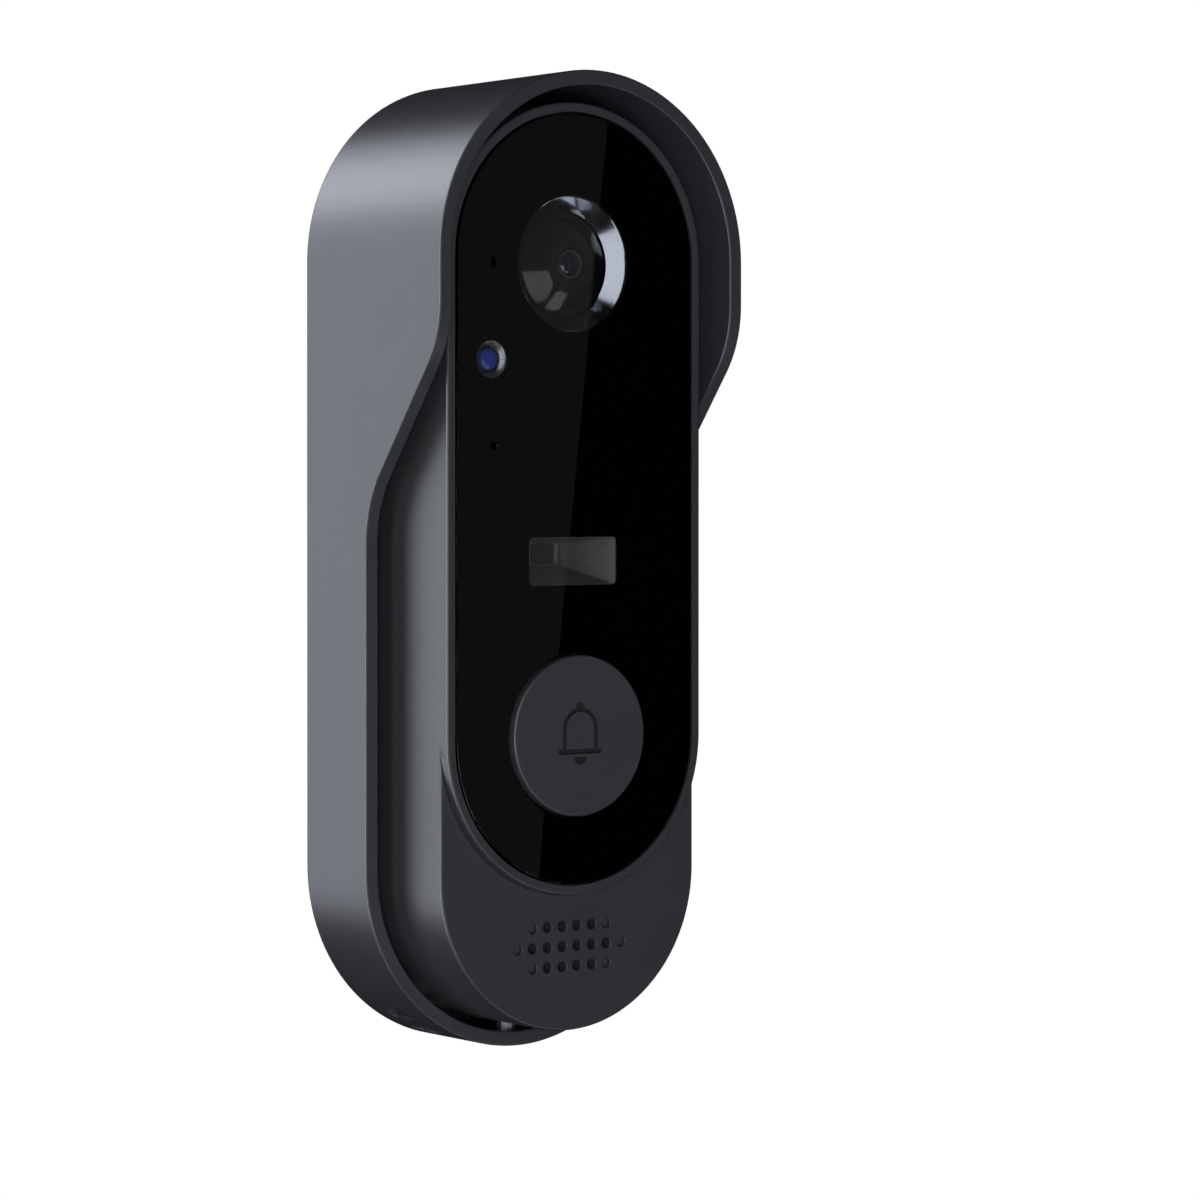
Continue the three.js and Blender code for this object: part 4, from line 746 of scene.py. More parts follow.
@dataclass
class RainHood:
    """The tray round the doorbell: deep visor, sloping edges, shallow rim and drain slots."""

    wall: float = 2.2
    floor: float = 2.0
    shallow: float = 16.3
    bend_drop: float = 11.8
    bend_low_z: float = 8.7
    bend_radius: float = 16.0
    outer_edge: float = 0.32
    inner_edge: float = 0.3
    root: float = 0.8
    bend_rows: int = 12
    drain_angles: tuple[float, ...] = (-35, -23.5, 23.5, 35)
    drain_width: float = 2.6
    drain_length: float = 6.2
    drain_depth: float = 7.4
    window: tuple[float, float, float] = (24, 22, 2.5)
    screw_hole: float = 2.3
    screw_rise: float = 3.2
    screw_drop: float = 7.2
    screw_flare: float = 0.5
    security_room: float = 0.3
    security_shank: float = 1.5
    security_lip: float = 0.4
    rim_band: float = 1.0
    box: Extent = field(init=False)

    def __post_init__(self) -> None:
        """Reads the hood's outer size from the frame."""
        self.box = Extent.of("rain_hood")

    @property
    def radius(self) -> float:
        """Radius of its round ends."""
        return self.box.half_width

    @property
    def arc_z(self) -> float:
        """Height of the upper round's centre, as far up as the lower one is down."""
        return self.box.high.z - self.radius

    @property
    def bend_top_z(self) -> float:
        """Height where the visor's edge starts to slope."""
        return self.arc_z - self.bend_drop

    @property
    def slope(self) -> float:
        """Angle of the sloping edge from upright, in radians."""
        return math.atan2(self.box.front - self.shallow, self.bend_top_z - self.bend_low_z)

    @property
    def bend_reach(self) -> float:
        """How far each bend's arc starts from its corner."""
        return self.bend_radius * math.tan(self.slope / 2)

    def rim_depth(self, z: float) -> float:
        """Depth of the rim at a height: visor, bend, slope, bend and shallow rim."""
        upper = self.bend_top_z + self.bend_reach
        lower = self.bend_low_z - self.bend_reach
        rise = self.bend_radius * math.sin(self.slope)
        if z >= upper:
            return self.box.front
        if z >= upper - rise:
            return self.box.front - self.bend_radius + math.sqrt(self.bend_radius**2 - (upper - z) ** 2)
        if z >= lower + rise:
            return self.shallow + (z - self.bend_low_z) * math.tan(self.slope)
        if z >= lower:
            return self.shallow + self.bend_radius - math.sqrt(self.bend_radius**2 - (z - lower) ** 2)
        return self.shallow

    def bend_heights(self) -> list[float]:
        """Heights of the rows of corners that the two bends need, from the top down."""
        upper = self.bend_top_z + self.bend_reach
        lower = self.bend_low_z - self.bend_reach
        turns = [self.slope * i / self.bend_rows for i in range(self.bend_rows + 1)]
        first = [upper - self.bend_radius * math.sin(turn) for turn in turns]
        second = [lower + self.bend_radius * math.sin(turn) for turn in reversed(turns)]
        return first + second

    def tray(self) -> Blank:
        """The tray with its sloping rim, before it is cut."""
        inner = self.radius - self.wall
        deep = self.box.front
        profile = [
            Corner(0, 0),
            Corner(self.radius, 0, self.root),
            Corner(self.radius, deep, self.outer_edge),
            Corner(inner, deep, self.inner_edge),
            Corner(inner, self.floor, self.root),
            Corner(0, self.floor),
        ]
        band = deep - self.rim_band

        def lowered(place: Vector) -> Vector:
            """Follows the rim at the corner's height, if the corner is on the rim."""
            if -place.y < band:
                return place
            return Vector((place.x, place.y + deep - self.rim_depth(place.z), place.z))

        return Blank.track(profile, self.arc_z, -self.arc_z, self.bend_heights()).reshape(lowered)

    def drains(self) -> list[Blank]:
        """Cutters of the drain slots in the lower round."""
        reach = self.radius - self.wall / 2
        thick = self.wall + 2 * PAST
        low = thick / 2 - self.arc_z - reach
        corner = self.drain_width / 2 - SLIVER
        made = []
        for degrees in self.drain_angles:
            slot = Blank.plate(0, 0, self.drain_width, self.drain_length, 0, thick, corner)
            slot.turn(90, (0, 0, 0), "X")
            slot.reshape(lambda p: Vector((p.x, p.y - self.drain_depth, p.z + low)))
            made.append(slot.turn(degrees, (0, 0, -self.arc_z), "Y"))
        return made

    def rear_cutters(self, button_z: float) -> list[Blank]:
        """Cutters of the window behind the charging socket and of the two wall-screw holes."""
        width, height, corner = self.window
        heights = (self.arc_z + self.screw_rise, -self.arc_z - self.screw_drop)
        holes = [hole(0, z, self.screw_hole, -PAST, self.floor, self.screw_flare) for z in heights]
        return [Blank.plate(0, button_z, width, height, -PAST, self.floor + PAST, corner), *holes]

    def security_hole(self) -> Blank:
        """Countersunk cutter for the screw up through the lowest point."""
        screw = Extent.of("security_screw")
        wide = screw.half_width + self.security_room
        narrow = self.security_shank + self.security_room
        lip = self.security_lip
        profile = [
            Corner(0, -PAST),
            Corner(wide, -PAST),
            Corner(wide, lip),
            Corner(narrow, lip + wide - narrow),
            Corner(narrow, self.wall + PAST),
            Corner(0, self.wall + PAST),
        ]
        cutter = Blank.turned(0, 0, profile, 48).turn(-90, (0, 0, 0), "X")
        low = self.box.low.z
        return cutter.reshape(lambda p: Vector((p.x, p.y + screw.middle.y, p.z + low)))

    def build(self, button_z: float) -> bpy.types.Object:
        """Shapes and dresses the hood.

        Args:
            button_z: Height of the button's centre, which the rear window is level with.

        Returns:
            The hood.
        """
        tray = self.tray().cut(*self.rear_cutters(button_z), self.security_hole(), *self.drains())
        return tray.finished("rain_hood_shell", Finish.HOOD, "shell_plastic", node="rain_hood")


# ---------------------------------------------------------------- doorbell's housing


@dataclass
class FrontHousing:
    """The moulding with the side wall, the raised rim round the glass and the chin."""

    wall: float = 2.0
    chin_depth: float = 29.15
    front_wall: float = 1.75
    rim_width: float = 1.36
    deck_step: float = 0.3
    edge: float = 0.4
    groove: float = 0.1
    groove_depth: float = 0.2
    hole_radius: float = 0.8
    pitch: tuple[float, float] = (2.68, 2.95)
    rows: tuple[int, ...] = (6, 8, 6)
    blind: float = 0.8
    speaker_drop: float = 10.55
    foot_edge: float = 0.3
    rim_corner: float = 0.03
    groove_lip: float = 0.1
    hole_flare: float = 0.09
    room: float = 0.3
    funnel_corner: float = 0.8
    box: Extent = field(init=False)
    glass: Extent = field(init=False)

    def __post_init__(self) -> None:
        """Reads the housing's and the glass's outer sizes from the frame."""
        self.box = Extent.of("front_housing")
        self.glass = Extent.of("front_glass")

    @property
    def radius(self) -> float:
        """Radius of its round ends."""
        return self.box.half_width

    @property
    def top_z(self) -> float:
        """Height of the upper round's centre."""
        return self.box.high.z - self.radius

    @property
    def low_z(self) -> float:
        """Height of the lower round's centre."""
        return self.box.low.z + self.radius

    @property
    def rim_z(self) -> float:
        """Height of the centre of the rim's lower arc."""
        return self.glass.low.z + self.glass.half_width

    @property
    def deck(self) -> float:
        """Depth of the ledge that the glass is taped to."""
        return self.glass.back - self.deck_step

    def rimmed(self) -> Blank:
        """The part under the glass, with the rim that stands round it."""
        ledge = self.radius - self.rim_width
        profile = [
            Corner(0, self.box.back),
            Corner(self.radius, self.box.back, self.foot_edge),
            Corner(self.radius, self.box.front, self.edge),
            Corner(ledge, self.box.front, self.rim_corner),
            Corner(ledge, self.deck),
            Corner(0, self.deck),
        ]
        return Blank.track(profile, self.top_z, self.rim_z)

    def chin(self) -> Blank:
        """The part below the rim, with a fine groove where the rim rises from it."""
        profile = [
            Corner(0, self.box.back),
            Corner(self.radius, self.box.back, self.foot_edge),
            Corner(self.radius, self.chin_depth, self.edge),
            Corner(0, self.chin_depth),
        ]
        reach = self.radius + self.groove
        lip = self.groove_lip
        cutter = [
            Corner(0, self.chin_depth - self.groove_depth),
            Corner(reach, self.chin_depth - self.groove_depth),
            Corner(reach, self.chin_depth - lip, lip),
            Corner(reach + lip + PAST, self.chin_depth + PAST),
            Corner(0, self.chin_depth + PAST),
        ]
        base = Blank.track(profile, self.rim_z, self.low_z)
        return base.cut(Blank.track(cutter, self.top_z, self.rim_z))

    def speaker_holes(self) -> Blank:
        """One cutter with every speaker hole; the last hole of each row stops short."""
        across, up = self.pitch
        middle = self.low_z - self.speaker_drop
        holes = []
        for row, count in enumerate(self.rows):
            z = middle + (1 - row) * up
            for i in range(count):
                is_open = 0 < i < count - 1
                start = self.chin_depth - (self.front_wall + PAST if is_open else self.blind)
                x = (i - (count - 1) / 2) * across
                holes.append(hole(x, z, self.hole_radius, start, self.chin_depth, self.hole_flare, 24))
        return holes[0].gather(holes[1:])

    def deck_cutters(self) -> list[Blank]:
        """Openings in the deck for the camera, the light sensor, the button and the small holes."""
        room = self.room
        start = self.chin_depth - self.front_wall - PAST
        camera = Extent.of("camera_dome").middle
        sensor = Extent.of("light_sensor_ring").middle
        button = Extent.of("button_cap").middle
        funnel = Extent.of("pir_shroud")
        return [
            hole(camera.x, camera.z, CAMERA_RADIUS + room, start, self.deck, steps=64),
            hole(sensor.x, sensor.z, SENSOR_RADIUS + room, start, self.deck),
            hole(button.x, button.z, BUTTON_HOLE, start, self.deck, steps=64),
            Blank.plate(
                funnel.middle.x, funnel.middle.z, funnel.size.x + 2 * room, funnel.size.z + 2 * room,
                start, self.deck + PAST, self.funnel_corner,
            ),
        ]

    def build(self) -> bpy.types.Object:
        """Shapes and dresses the housing, and returns it."""
        hollow = Blank.track(
            [
                Corner(0, self.box.back - PAST),
                Corner(self.radius - self.wall, self.box.back - PAST),
                Corner(self.radius - self.wall, self.chin_depth - self.front_wall),
                Corner(0, self.chin_depth - self.front_wall),
            ],
            self.top_z,
            self.low_z,
        )
        shell = self.rimmed().join(self.chin())
        shell.cut(hollow, *self.deck_cutters(), self.speaker_holes())
        return shell.finished("housing_shell", Finish.SHELL, "shell_plastic", node="front_housing")


@dataclass
class FrontGlass:
    """The glass sheet and the black print on its back and edges, with windows for what looks out."""

    edge: float = 0.18
    hole_flare: float = 0.1
    window_wall: float = 0.8
    window_corner: float = 0.8
    bond: float = 0.01
    print_thick: float = 0.04
    print_lip: float = 0.14
    slot: tuple[float, float] = (0.8, 1.5)
    mic_radius: float = 0.5
    mic_place: tuple[float, float] = (-14.8, 17.4)
    status_place: tuple[float, float] = (-14.9, 43.95)
    box: Extent = field(init=False)

    def __post_init__(self) -> None:
        """Reads the glass's size from the frame."""
        self.box = Extent.of("front_glass")

    def sheet(self, radius: float, back: float, front: float, edge: float) -> Blank:
        """A sheet between two depths with the glass's outline.

        Args:
            radius: Radius of its round ends.
            back: Depth of its rear face.
            front: Depth of its front face.
            edge: Radius that softens the front edge.

        Returns:
            The sheet.
        """
        profile = [Corner(0, back), Corner(radius, back), Corner(radius, front, edge), Corner(0, front)]
        full = self.box.half_width
        return Blank.track(profile, self.box.high.z - full, self.box.low.z + full)

    def small_holes(self, back: float, front: float, flare: float) -> list[Blank]:
        """Cutters of the button's hole, the microphone's hole and the status light's slot."""
        button = Extent.of("button_cap").middle
        x, z = self.status_place
        return [
            hole(button.x, button.z, BUTTON_HOLE, back - PAST, front, flare, 96),
            hole(*self.mic_place, self.mic_radius, back - PAST, front, flare, 24),
            Blank.plate(x, z, *self.slot, back - PAST, front + PAST, self.slot[0] / 2 - SLIVER),
        ]

    def build_glass(self) -> bpy.types.Object:
        """Shapes and dresses the glass, and returns it."""
        glass = self.sheet(self.box.half_width, self.box.back, self.box.front, self.edge)
        glass.cut(*self.small_holes(self.box.back, self.box.front, self.hole_flare))
        return glass.finished("front_glass_sheet", Finish.GLASS, "front_glass", node="front_glass")

    def wrapped(self, back: float, front: float) -> Blank:
        """The print's sheet with a thin wall just inside and round the glass's edge.

        Args:
            back: Depth of the print's rear face.
            front: Depth of its front face, just inside the glass.

        Returns:
            The sheet and its wall.
        """
        inner = self.box.half_width - self.bond
        outer = inner + self.print_thick
        lip = self.box.front - self.print_lip
        profile = [Corner(0, back), Corner(outer, back), Corner(outer, lip), Corner(inner, lip)]
        profile += [Corner(inner, front), Corner(0, front)]
        full = self.box.half_width
        return Blank.track(profile, self.box.high.z - full, self.box.low.z + full)

    def linings(self, back: float) -> list[Blank]:
        """Thin tubes that line the button's hole, the microphone's hole and the status slot."""
        button = Extent.of("button_cap").middle
        front = self.box.front - self.print_lip
        made = []
        for x, z, radius in ((button.x, button.z, BUTTON_HOLE), (*self.mic_place, self.mic_radius)):
            outer = radius + self.bond
            inner = outer - self.print_thick
            profile = [Corner(inner, back), Corner(outer, back), Corner(outer, front), Corner(inner, front)]
            made.append(Blank.turned(x, z, profile, 48, looped=True))
        x, z = self.status_place
        width, height = self.slot
        grown = 2 * self.bond
        slot = Blank.plate(x, z, width + grown, height + grown, back, front, width / 2)
        room = 2 * self.print_thick - grown
        inside = (width - room, height - room)
        slot.cut(Blank.plate(x, z, *inside, back - PAST, front + PAST, inside[0] / 2 - SLIVER))
        return [*made, slot]

    def build_print(self) -> bpy.types.Object:
        """Shapes and dresses the black print with its windows, and returns it."""
        front = self.box.back + self.bond
        back = front - self.print_thick
        camera = Extent.of("camera_dome").middle
        sensor = Extent.of("light_sensor_ring").middle
        funnel = Extent.of("pir_shroud")
        wall = self.window_wall
        film = self.wrapped(back, front)
        film.cut(
            *self.small_holes(back, front, 0),
            hole(camera.x, camera.z, CAMERA_RADIUS, back - PAST, front, steps=96),
            hole(sensor.x, sensor.z, SENSOR_RADIUS, back - PAST, front, steps=48),
            Blank.plate(
                funnel.middle.x, funnel.middle.z, funnel.size.x - 2 * wall, funnel.size.z - 2 * wall,
                back - PAST, front + PAST, self.window_corner,
            ),
        )
        film.gather(self.linings(back))
        return film.finished("glass_print", Finish.MASK, "lens_black")


# ---------------------------------------------------------------- camera and sensors


@dataclass
class CameraFront:
    """The polished ring, the black infrared dome, and the lens in its middle."""

    ring_inner: float = 7.9
    ring_slope: float = 2.2
    flange: float = 1.5
    crown_radius: float = 4.0
    wall: float = 0.9
    lens_hole: float = 2.45
    lens_radius: float = 2.15
    throat: float = 1.75
    ridges: int = 5
    ridge: float = 0.015
    land: tuple[float, float] = (0.1, 0.2)
    cone_start: float = 0.08
    cone_soft: float = 0.05
    dome_steps: int = 20
    belly: float = 0.25
    shoulder_drop: float = 0.7
    seat_drop: float = 1.5
    seat_width: float = 0.5
    baffle: float = 0.15
    baffle_in: float = 0.1
    barrel_edge: float = 0.1
    lip_edge: float = 0.04
    element_rim: float = 0.45
    element_steps: int = 14

    def __post_init__(self) -> None:
        """Reads the ring's, dome's and barrel's places from the frame."""
        self.ring = Extent.of("camera_ring")
        self.dome = Extent.of("camera_dome")
        self.barrel = Extent.of("lens_barrel")
        self.element = Extent.of("lens_element")

    def build_ring(self) -> bpy.types.Object:
        """Shapes and dresses the polished ring, and returns it."""
        front, back = self.ring.front, self.ring.back
        flange = CAMERA_RADIUS + self.flange
        start = Extent.of("front_glass").back - GLASS_BACKING
        profile = [
            Corner(self.ring_inner, back),
            Corner(flange, back),
            Corner(flange, start),
            Corner(CAMERA_RADIUS, start),
            Corner(CAMERA_RADIUS, front),
            Corner(CAMERA_RADIUS - self.land[0], front),
            Corner(CAMERA_RADIUS - self.land[1], front - self.cone_start, self.cone_soft),
            Corner(self.ring_inner, front - self.ring_slope),
        ]
        middle = self.ring.middle
        ring = Blank.turned(middle.x, middle.z, profile, 128, looped=True)
        return ring.finished("camera_ring_polished", Finish.POLISHED, "polished_ring", node="camera_ring")

    def swell(self, share: float) -> float:
        """How far the dome has risen at a share of the way in, steep first and then flatter."""
        return share * (1 + self.belly * (1 - share))

    def build_dome(self) -> bpy.types.Object:
        """Shapes and dresses the dome with its ridged crown, and returns it."""
        edge = self.dome.half_width
        foot = self.dome.back
        cone_end = self.ring.front - self.ring_slope
        crown = self.dome.front
        rise = crown - cone_end
        shares = [step / self.dome_steps for step in range(self.dome_steps + 1)]
        outside = [
            Corner(edge + (self.crown_radius - edge) * share, cone_end + rise * self.swell(share))
            for share in shares
        ]
        inside = [Corner(corner.radius - self.wall, corner.depth - self.wall) for corner in reversed(outside)]
        pitch = (self.crown_radius - self.lens_hole) / (self.ridges + 1)
        crown_rings = [
            Corner(self.crown_radius - pitch * (i / 2 + 0.5), crown - (self.ridge if i % 2 else 0))
            for i in range(2 * self.ridges + 1)
        ]
        profile = [
            Corner(edge - self.wall, foot),
            Corner(edge, foot),
            *outside,
            *crown_rings,
            Corner(self.lens_hole, crown),
            Corner(self.lens_hole, crown - self.wall),
            *inside,
        ]
        middle = self.dome.middle
        dome = Blank.turned(middle.x, middle.z, profile, 128, looped=True)
        return dome.finished("camera_dome_black", Finish.DOME, "lens_black", node="camera_dome")

    def build_barrel(self) -> bpy.types.Object:
        """Shapes and dresses the lens barrel with a stepped throat, and returns it."""
        front, back = self.barrel.front, self.barrel.back
        body = self.barrel.half_width
        shoulder = self.ring.front - self.ring_slope - self.shoulder_drop
        seat = front - self.seat_drop
        bore = self.throat - self.seat_width
        profile = [
            Corner(bore, back),
            Corner(body, back),
            Corner(body, shoulder),
            Corner(self.lens_radius, shoulder),
            Corner(self.lens_radius, front, self.barrel_edge),
            Corner(self.throat + self.baffle, front, self.lip_edge),
            Corner(self.throat + self.baffle_in, front - self.baffle),
            Corner(self.throat, front - self.baffle),
            Corner(self.throat, seat),
            Corner(bore, seat),
        ]
        middle = self.barrel.middle
        barrel = Blank.turned(middle.x, middle.z, profile, 96, looped=True)
        return barrel.finished("lens_barrel_ring", Finish.LENS_RING, "lens_black", node="lens_barrel")

    def build_element(self) -> bpy.types.Object:
        """Shapes and dresses the front lens element, and returns it."""
        radius = self.element.half_width
        back, front = self.element.back, self.element.front
        shoulder = back + self.element_rim
        arc = [math.pi / 2 * i / self.element_steps for i in range(self.element_steps + 1)]
        bulge = [Corner(radius * math.cos(a), shoulder + (front - shoulder) * math.sin(a)) for a in arc[:-1]]
        profile = [Corner(0, back), Corner(radius, back), *bulge, Corner(0, front)]
        middle = self.element.middle
        lens = Blank.turned(middle.x, middle.z, profile, 64)
        return lens.finished("lens_element_glass", Finish.LENS, "clear_plastic", node="lens_element")


@dataclass
class LightSensor:
    """The silver ring and the blue lens in it."""

    inner: float = 2.02
    flange: float = 0.8
    flange_thick: float = 0.9
    land: tuple[float, float] = (0.06, 0.14)
    land_fall: tuple[float, float] = (0.04, 0.05)
    cone_fall: float = 0.8
    lens_radius: float = 1.5
    stem_radius: float = 1.2
    stem_taper: float = 0.4
    lens_side: float = 0.35
    lens_flat: float = 0.6
    lens_fall: float = 0.08
    soft: float = 0.1
    crown_soft: float = 0.3

    def __post_init__(self) -> None:
        """Reads both pieces' places from the frame."""
        self.ring = Extent.of("light_sensor_ring")
        self.lens = Extent.of("light_sensor_guide")

    def build_ring(self) -> bpy.types.Object:
        """Shapes and dresses the silver ring, and returns it."""
        front, back = self.ring.front, self.ring.back
        step = back + self.flange_thick
        profile = [
            Corner(self.inner, back),
            Corner(SENSOR_RADIUS + self.flange, back),
            Corner(SENSOR_RADIUS + self.flange, step),
            Corner(SENSOR_RADIUS, step),
            Corner(SENSOR_RADIUS, front - self.land_fall[0]),
            Corner(SENSOR_RADIUS - self.land[0], front),
            Corner(SENSOR_RADIUS - self.land[1], front - self.land_fall[1]),
            Corner(self.inner, front - self.cone_fall),
        ]
        middle = self.ring.middle
        ring = Blank.turned(middle.x, middle.z, profile, 72, looped=True)
        return ring.finished("light_sensor_bezel", Finish.SILVER, "polished_ring", node="light_sensor_ring")

    def build_lens(self) -> bpy.types.Object:
        """Shapes and dresses the blue lens, and returns it."""
        front, back = self.lens.front, self.lens.back
        foot = self.ring.back
        profile = [
            Corner(0, back),
            Corner(self.stem_radius, back, self.soft),
            Corner(self.stem_radius, foot),
            Corner(self.lens_radius, foot + self.stem_taper),
            Corner(self.lens_radius, front - self.lens_side, self.soft),
            Corner(self.lens_radius * self.lens_flat, front - self.lens_fall, self.crown_soft),
            Corner(0, front),
        ]
        middle = self.lens.middle
        lens = Blank.turned(middle.x, middle.z, profile, 64)
        return lens.finished(
            "light_sensor_lens", Finish.SENSOR_BLUE, "sensor_blue", node="light_sensor_guide"
        )


# ---------------------------------------------------------------- push button


@dataclass
class PushButton:
    """The round cap with a bell engraved in it."""

    radius: float = 11.8
    edge: float = 0.3
    skirt: float = 1.4
    flange_thick: float = 0.9
    top_thick: float = 1.6
    stem_radius: float = 2.2
    stem_edge: float = 0.2
    engraving: float = 0.4
    # thickness of the dark sheet in the bell's floor: painted shade for the engraving
    shade_sheet: float = 0.06
    stroke: float = 0.62
    arch_width: float = 6.3
    arch_rise: float = 1.0
    bond: float = 0.01
    bar: tuple[float, float] = (8.0, 0.75)
    bar_z: float = -2.3
    knob: tuple[float, float] = (1.55, 1.5)
    clapper_radius: float = 1.15
    clapper_gap: float = 0.4
    knob_lift: float = 0.05
    knob_flat: float = 0.05
    bar_flat: float = 0.02
    eraser: float = 20.0

    def __post_init__(self) -> None:
        """Reads the cap's place from the frame."""
        self.box = Extent.of("button_cap")

    def cap(self) -> Blank:
        """The cap with its skirt, flange and stem."""
        top, stem = self.box.front, self.box.back
        flange_front = Extent.of("front_glass").back - GLASS_BACKING
        inner = self.radius - self.skirt
        under = top - self.top_thick
        profile = [
            Corner(0, stem),
            Corner(self.stem_radius, stem, self.stem_edge),
            Corner(self.stem_radius, under),
            Corner(inner, under),
            Corner(inner, flange_front - self.flange_thick),
            Corner(self.box.half_width, flange_front - self.flange_thick),
            Corner(self.box.half_width, flange_front),
            Corner(self.radius, flange_front),
            Corner(self.radius, top, self.edge),
            Corner(0, top),
        ]
        return Blank.turned(0, self.box.middle.z, profile, 128)

    def arch(self, back: float, front: float, shrink: float) -> Blank:
        """The bell's arched outline between two depths, drawn in by a margin all round."""
        outer = self.arch_width / 2 - shrink
        inner = self.arch_width / 2 - self.stroke + shrink
        profile = [Corner(inner, back), Corner(outer, back), Corner(outer, front), Corner(inner, front)]
        z = self.box.middle.z
        ring = Blank.track(profile, z + self.arch_rise, z - self.arch_width / 2, looped=True)
        wide = self.eraser
        return ring.cut(
            Blank.plate(0, z + self.bar_z - wide / 2, wide, wide, back - PAST, front + PAST, SLIVER)
        )

    def bell(self, back: float, front: float, shrink: float = 0.0) -> list[Blank]:
        """The bell's arch, bar, knob and clapper as solids.

        Args:
            back: Depth of their rear faces.
            front: Depth of their front faces.
            shrink: How far every side is drawn in.

        Returns:
            The four solids.
        """
        z = self.box.middle.z
        width, thick = (size - 2 * shrink for size in self.bar)
        bar = Blank.plate(0, z + self.bar_z, width, thick, back, front, thick / 2 - self.bar_flat)
        knob_width, knob_height = (size - 2 * shrink for size in self.knob)
        knob_z = z + self.arch_rise + self.arch_width / 2 + self.knob_lift
        corner = knob_width / 2 - self.knob_flat
        knob = Blank.plate(0, knob_z, knob_width, knob_height, back, front, corner)
        clapper_z = z + self.bar_z - self.bar[1] / 2 - self.clapper_gap
        radius = self.clapper_radius - shrink
        disc = [Corner(0, back), Corner(radius, back), Corner(radius, front), Corner(0, front)]
        clapper = Blank.turned(0, clapper_z, disc, 48)
        wide = self.eraser / 2
        upper = Blank.plate(0, clapper_z + wide / 2 - shrink, wide, wide, back - PAST, front + PAST, SLIVER)
        return [self.arch(back, front, shrink), bar, knob, clapper.cut(upper)]

    def build(self) -> bpy.types.Object:
        """Shapes and dresses the cap, and returns it."""
        floor = self.box.front - self.engraving
        cap = self.cap().cut(*self.bell(floor, self.box.front + PAST))
        return cap.finished("button_cap_bell", Finish.CAP, "shell_plastic", body="button", node="button_cap")

    def build_painted_shade(self) -> bpy.types.Object:
        """Shapes and dresses a dark sheet in the floor of the bell that paints the engraving's shade, and
        returns it.
        """
        floor = self.box.front - self.engraving
        # painted shade: a dark sheet lies in the engraving's floor to darken it as its shade would
        arch, *rest = self.bell(floor + self.bond, floor + self.shade_sheet, self.bond)
        return arch.join(*rest).finished("bell_painted_shade", Finish.RUBBER, "inner_plastic", body="button")


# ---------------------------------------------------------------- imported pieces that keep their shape


@dataclass(frozen=True)
class KeptPieces:
    """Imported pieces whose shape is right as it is, each with the finish it wears."""

    finishes: tuple[tuple[Finish, tuple[str, ...]], ...] = (
        (Finish.STEEL, ("wall_bracket", "bracket_screw", "housing_screw", "board_screw", "security_screw")),
        (Finish.STEEL, ("microphone", "usb_socket", "pir_sensor", "radio_module")),
        (Finish.BRASS, ("security_insert",)),
        (Finish.INNER, ("rear_cover", "lens_holder", "button_carrier", "speaker_frame", "speaker_mesh")),
        (Finish.RUBBER, ("housing_seal", "glass_tape", "microphone_boot", "button_seal", "speaker_gasket")),
        (Finish.RUBBER, ("usb_cover", "reset_button")),
        (Finish.FUNNEL, ("pir_shroud",)),
        (Finish.WINDOW, ("pir_window", "image_sensor", "ir_filter_blade", "status_light_guide")),
        (Finish.BOARD, ("camera_board", "ir_led_board", "main_board", "charge_board")),
        (Finish.DIFFUSER, ("ir_led_1", "ir_led_2", "switch_plunger", "battery_connector")),
        (Finish.CHIP, ("tact_switch", "processor", "reset_switch")),
        (Finish.FOIL, ("camera_flex", "antenna")),
        (Finish.PAPER, ("speaker_cone",)),
        (Finish.CELL, ("battery_pack",)),
    )

    def dress(self, nodes: dict[str, bpy.types.Object]) -> int:
        """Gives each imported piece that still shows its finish.

        Args:
            nodes: The frame's nodes by name.

        Returns:
            How many were dressed.
        """
        dressed = 0
        for name, node in nodes.items():
            if node.hide_render:
                continue
            fits = [
                (stem, finish) for finish, stems in self.finishes for stem in stems if name.startswith(stem)
            ]
            finish = max(fits, key=lambda fit: len(fit[0]))[1] if fits else Finish.INNER
            node.data.materials.clear()
            node.data.materials.append(finish.material())
            dressed += 1
        return dressed


# ---------------------------------------------------------------- studio


class Reach(Enum):
    """Which surfaces a light shows on: all, shiny ones only, or matt ones only."""

    ALL = "all"
    SHINE = "shine"
    FILL = "fill"


@dataclass(frozen=True)
class Softbox:
    """A flat soft light, given in metres."""

    name: str
    place: tuple[float, float, float]
    aim: tuple[float, float, float]
    size: tuple[float, float]
    radiance: float
    reach: Reach = Reach.ALL
    tint: tuple[float, float, float] = (1, 1, 1)
    roll: float = 0.0

    def hang(self) -> bpy.types.Object:
        """Adds the light to the scene, and returns it."""
        data = bpy.data.lights.new(self.name, "AREA")
        data.shape = "RECTANGLE"
        data.size, data.size_y = self.size
        data.energy = self.radiance * math.pi * self.size[0] * self.size[1]
        data.color = self.tint
        lamp = bpy.data.objects.new(self.name, data)
        lamp.location = self.place
        aim = (Vector(self.aim) - Vector(self.place)).to_track_quat("-Z", "Y")
        lamp.rotation_mode = "QUATERNION"
        lamp.rotation_quaternion = aim @ Matrix.Rotation(math.radians(self.roll), 3, "Z").to_quaternion()
        lamp.visible_camera = False
        lamp.visible_diffuse = self.reach is not Reach.SHINE
        lamp.visible_glossy = self.reach is not Reach.FILL
        lamp.visible_transmission = self.reach is not Reach.FILL
        bpy.context.scene.collection.objects.link(lamp)
        return lamp


COOL = (0.95, 0.97, 1.0)
BLUISH = (0.86, 0.9, 1.0)


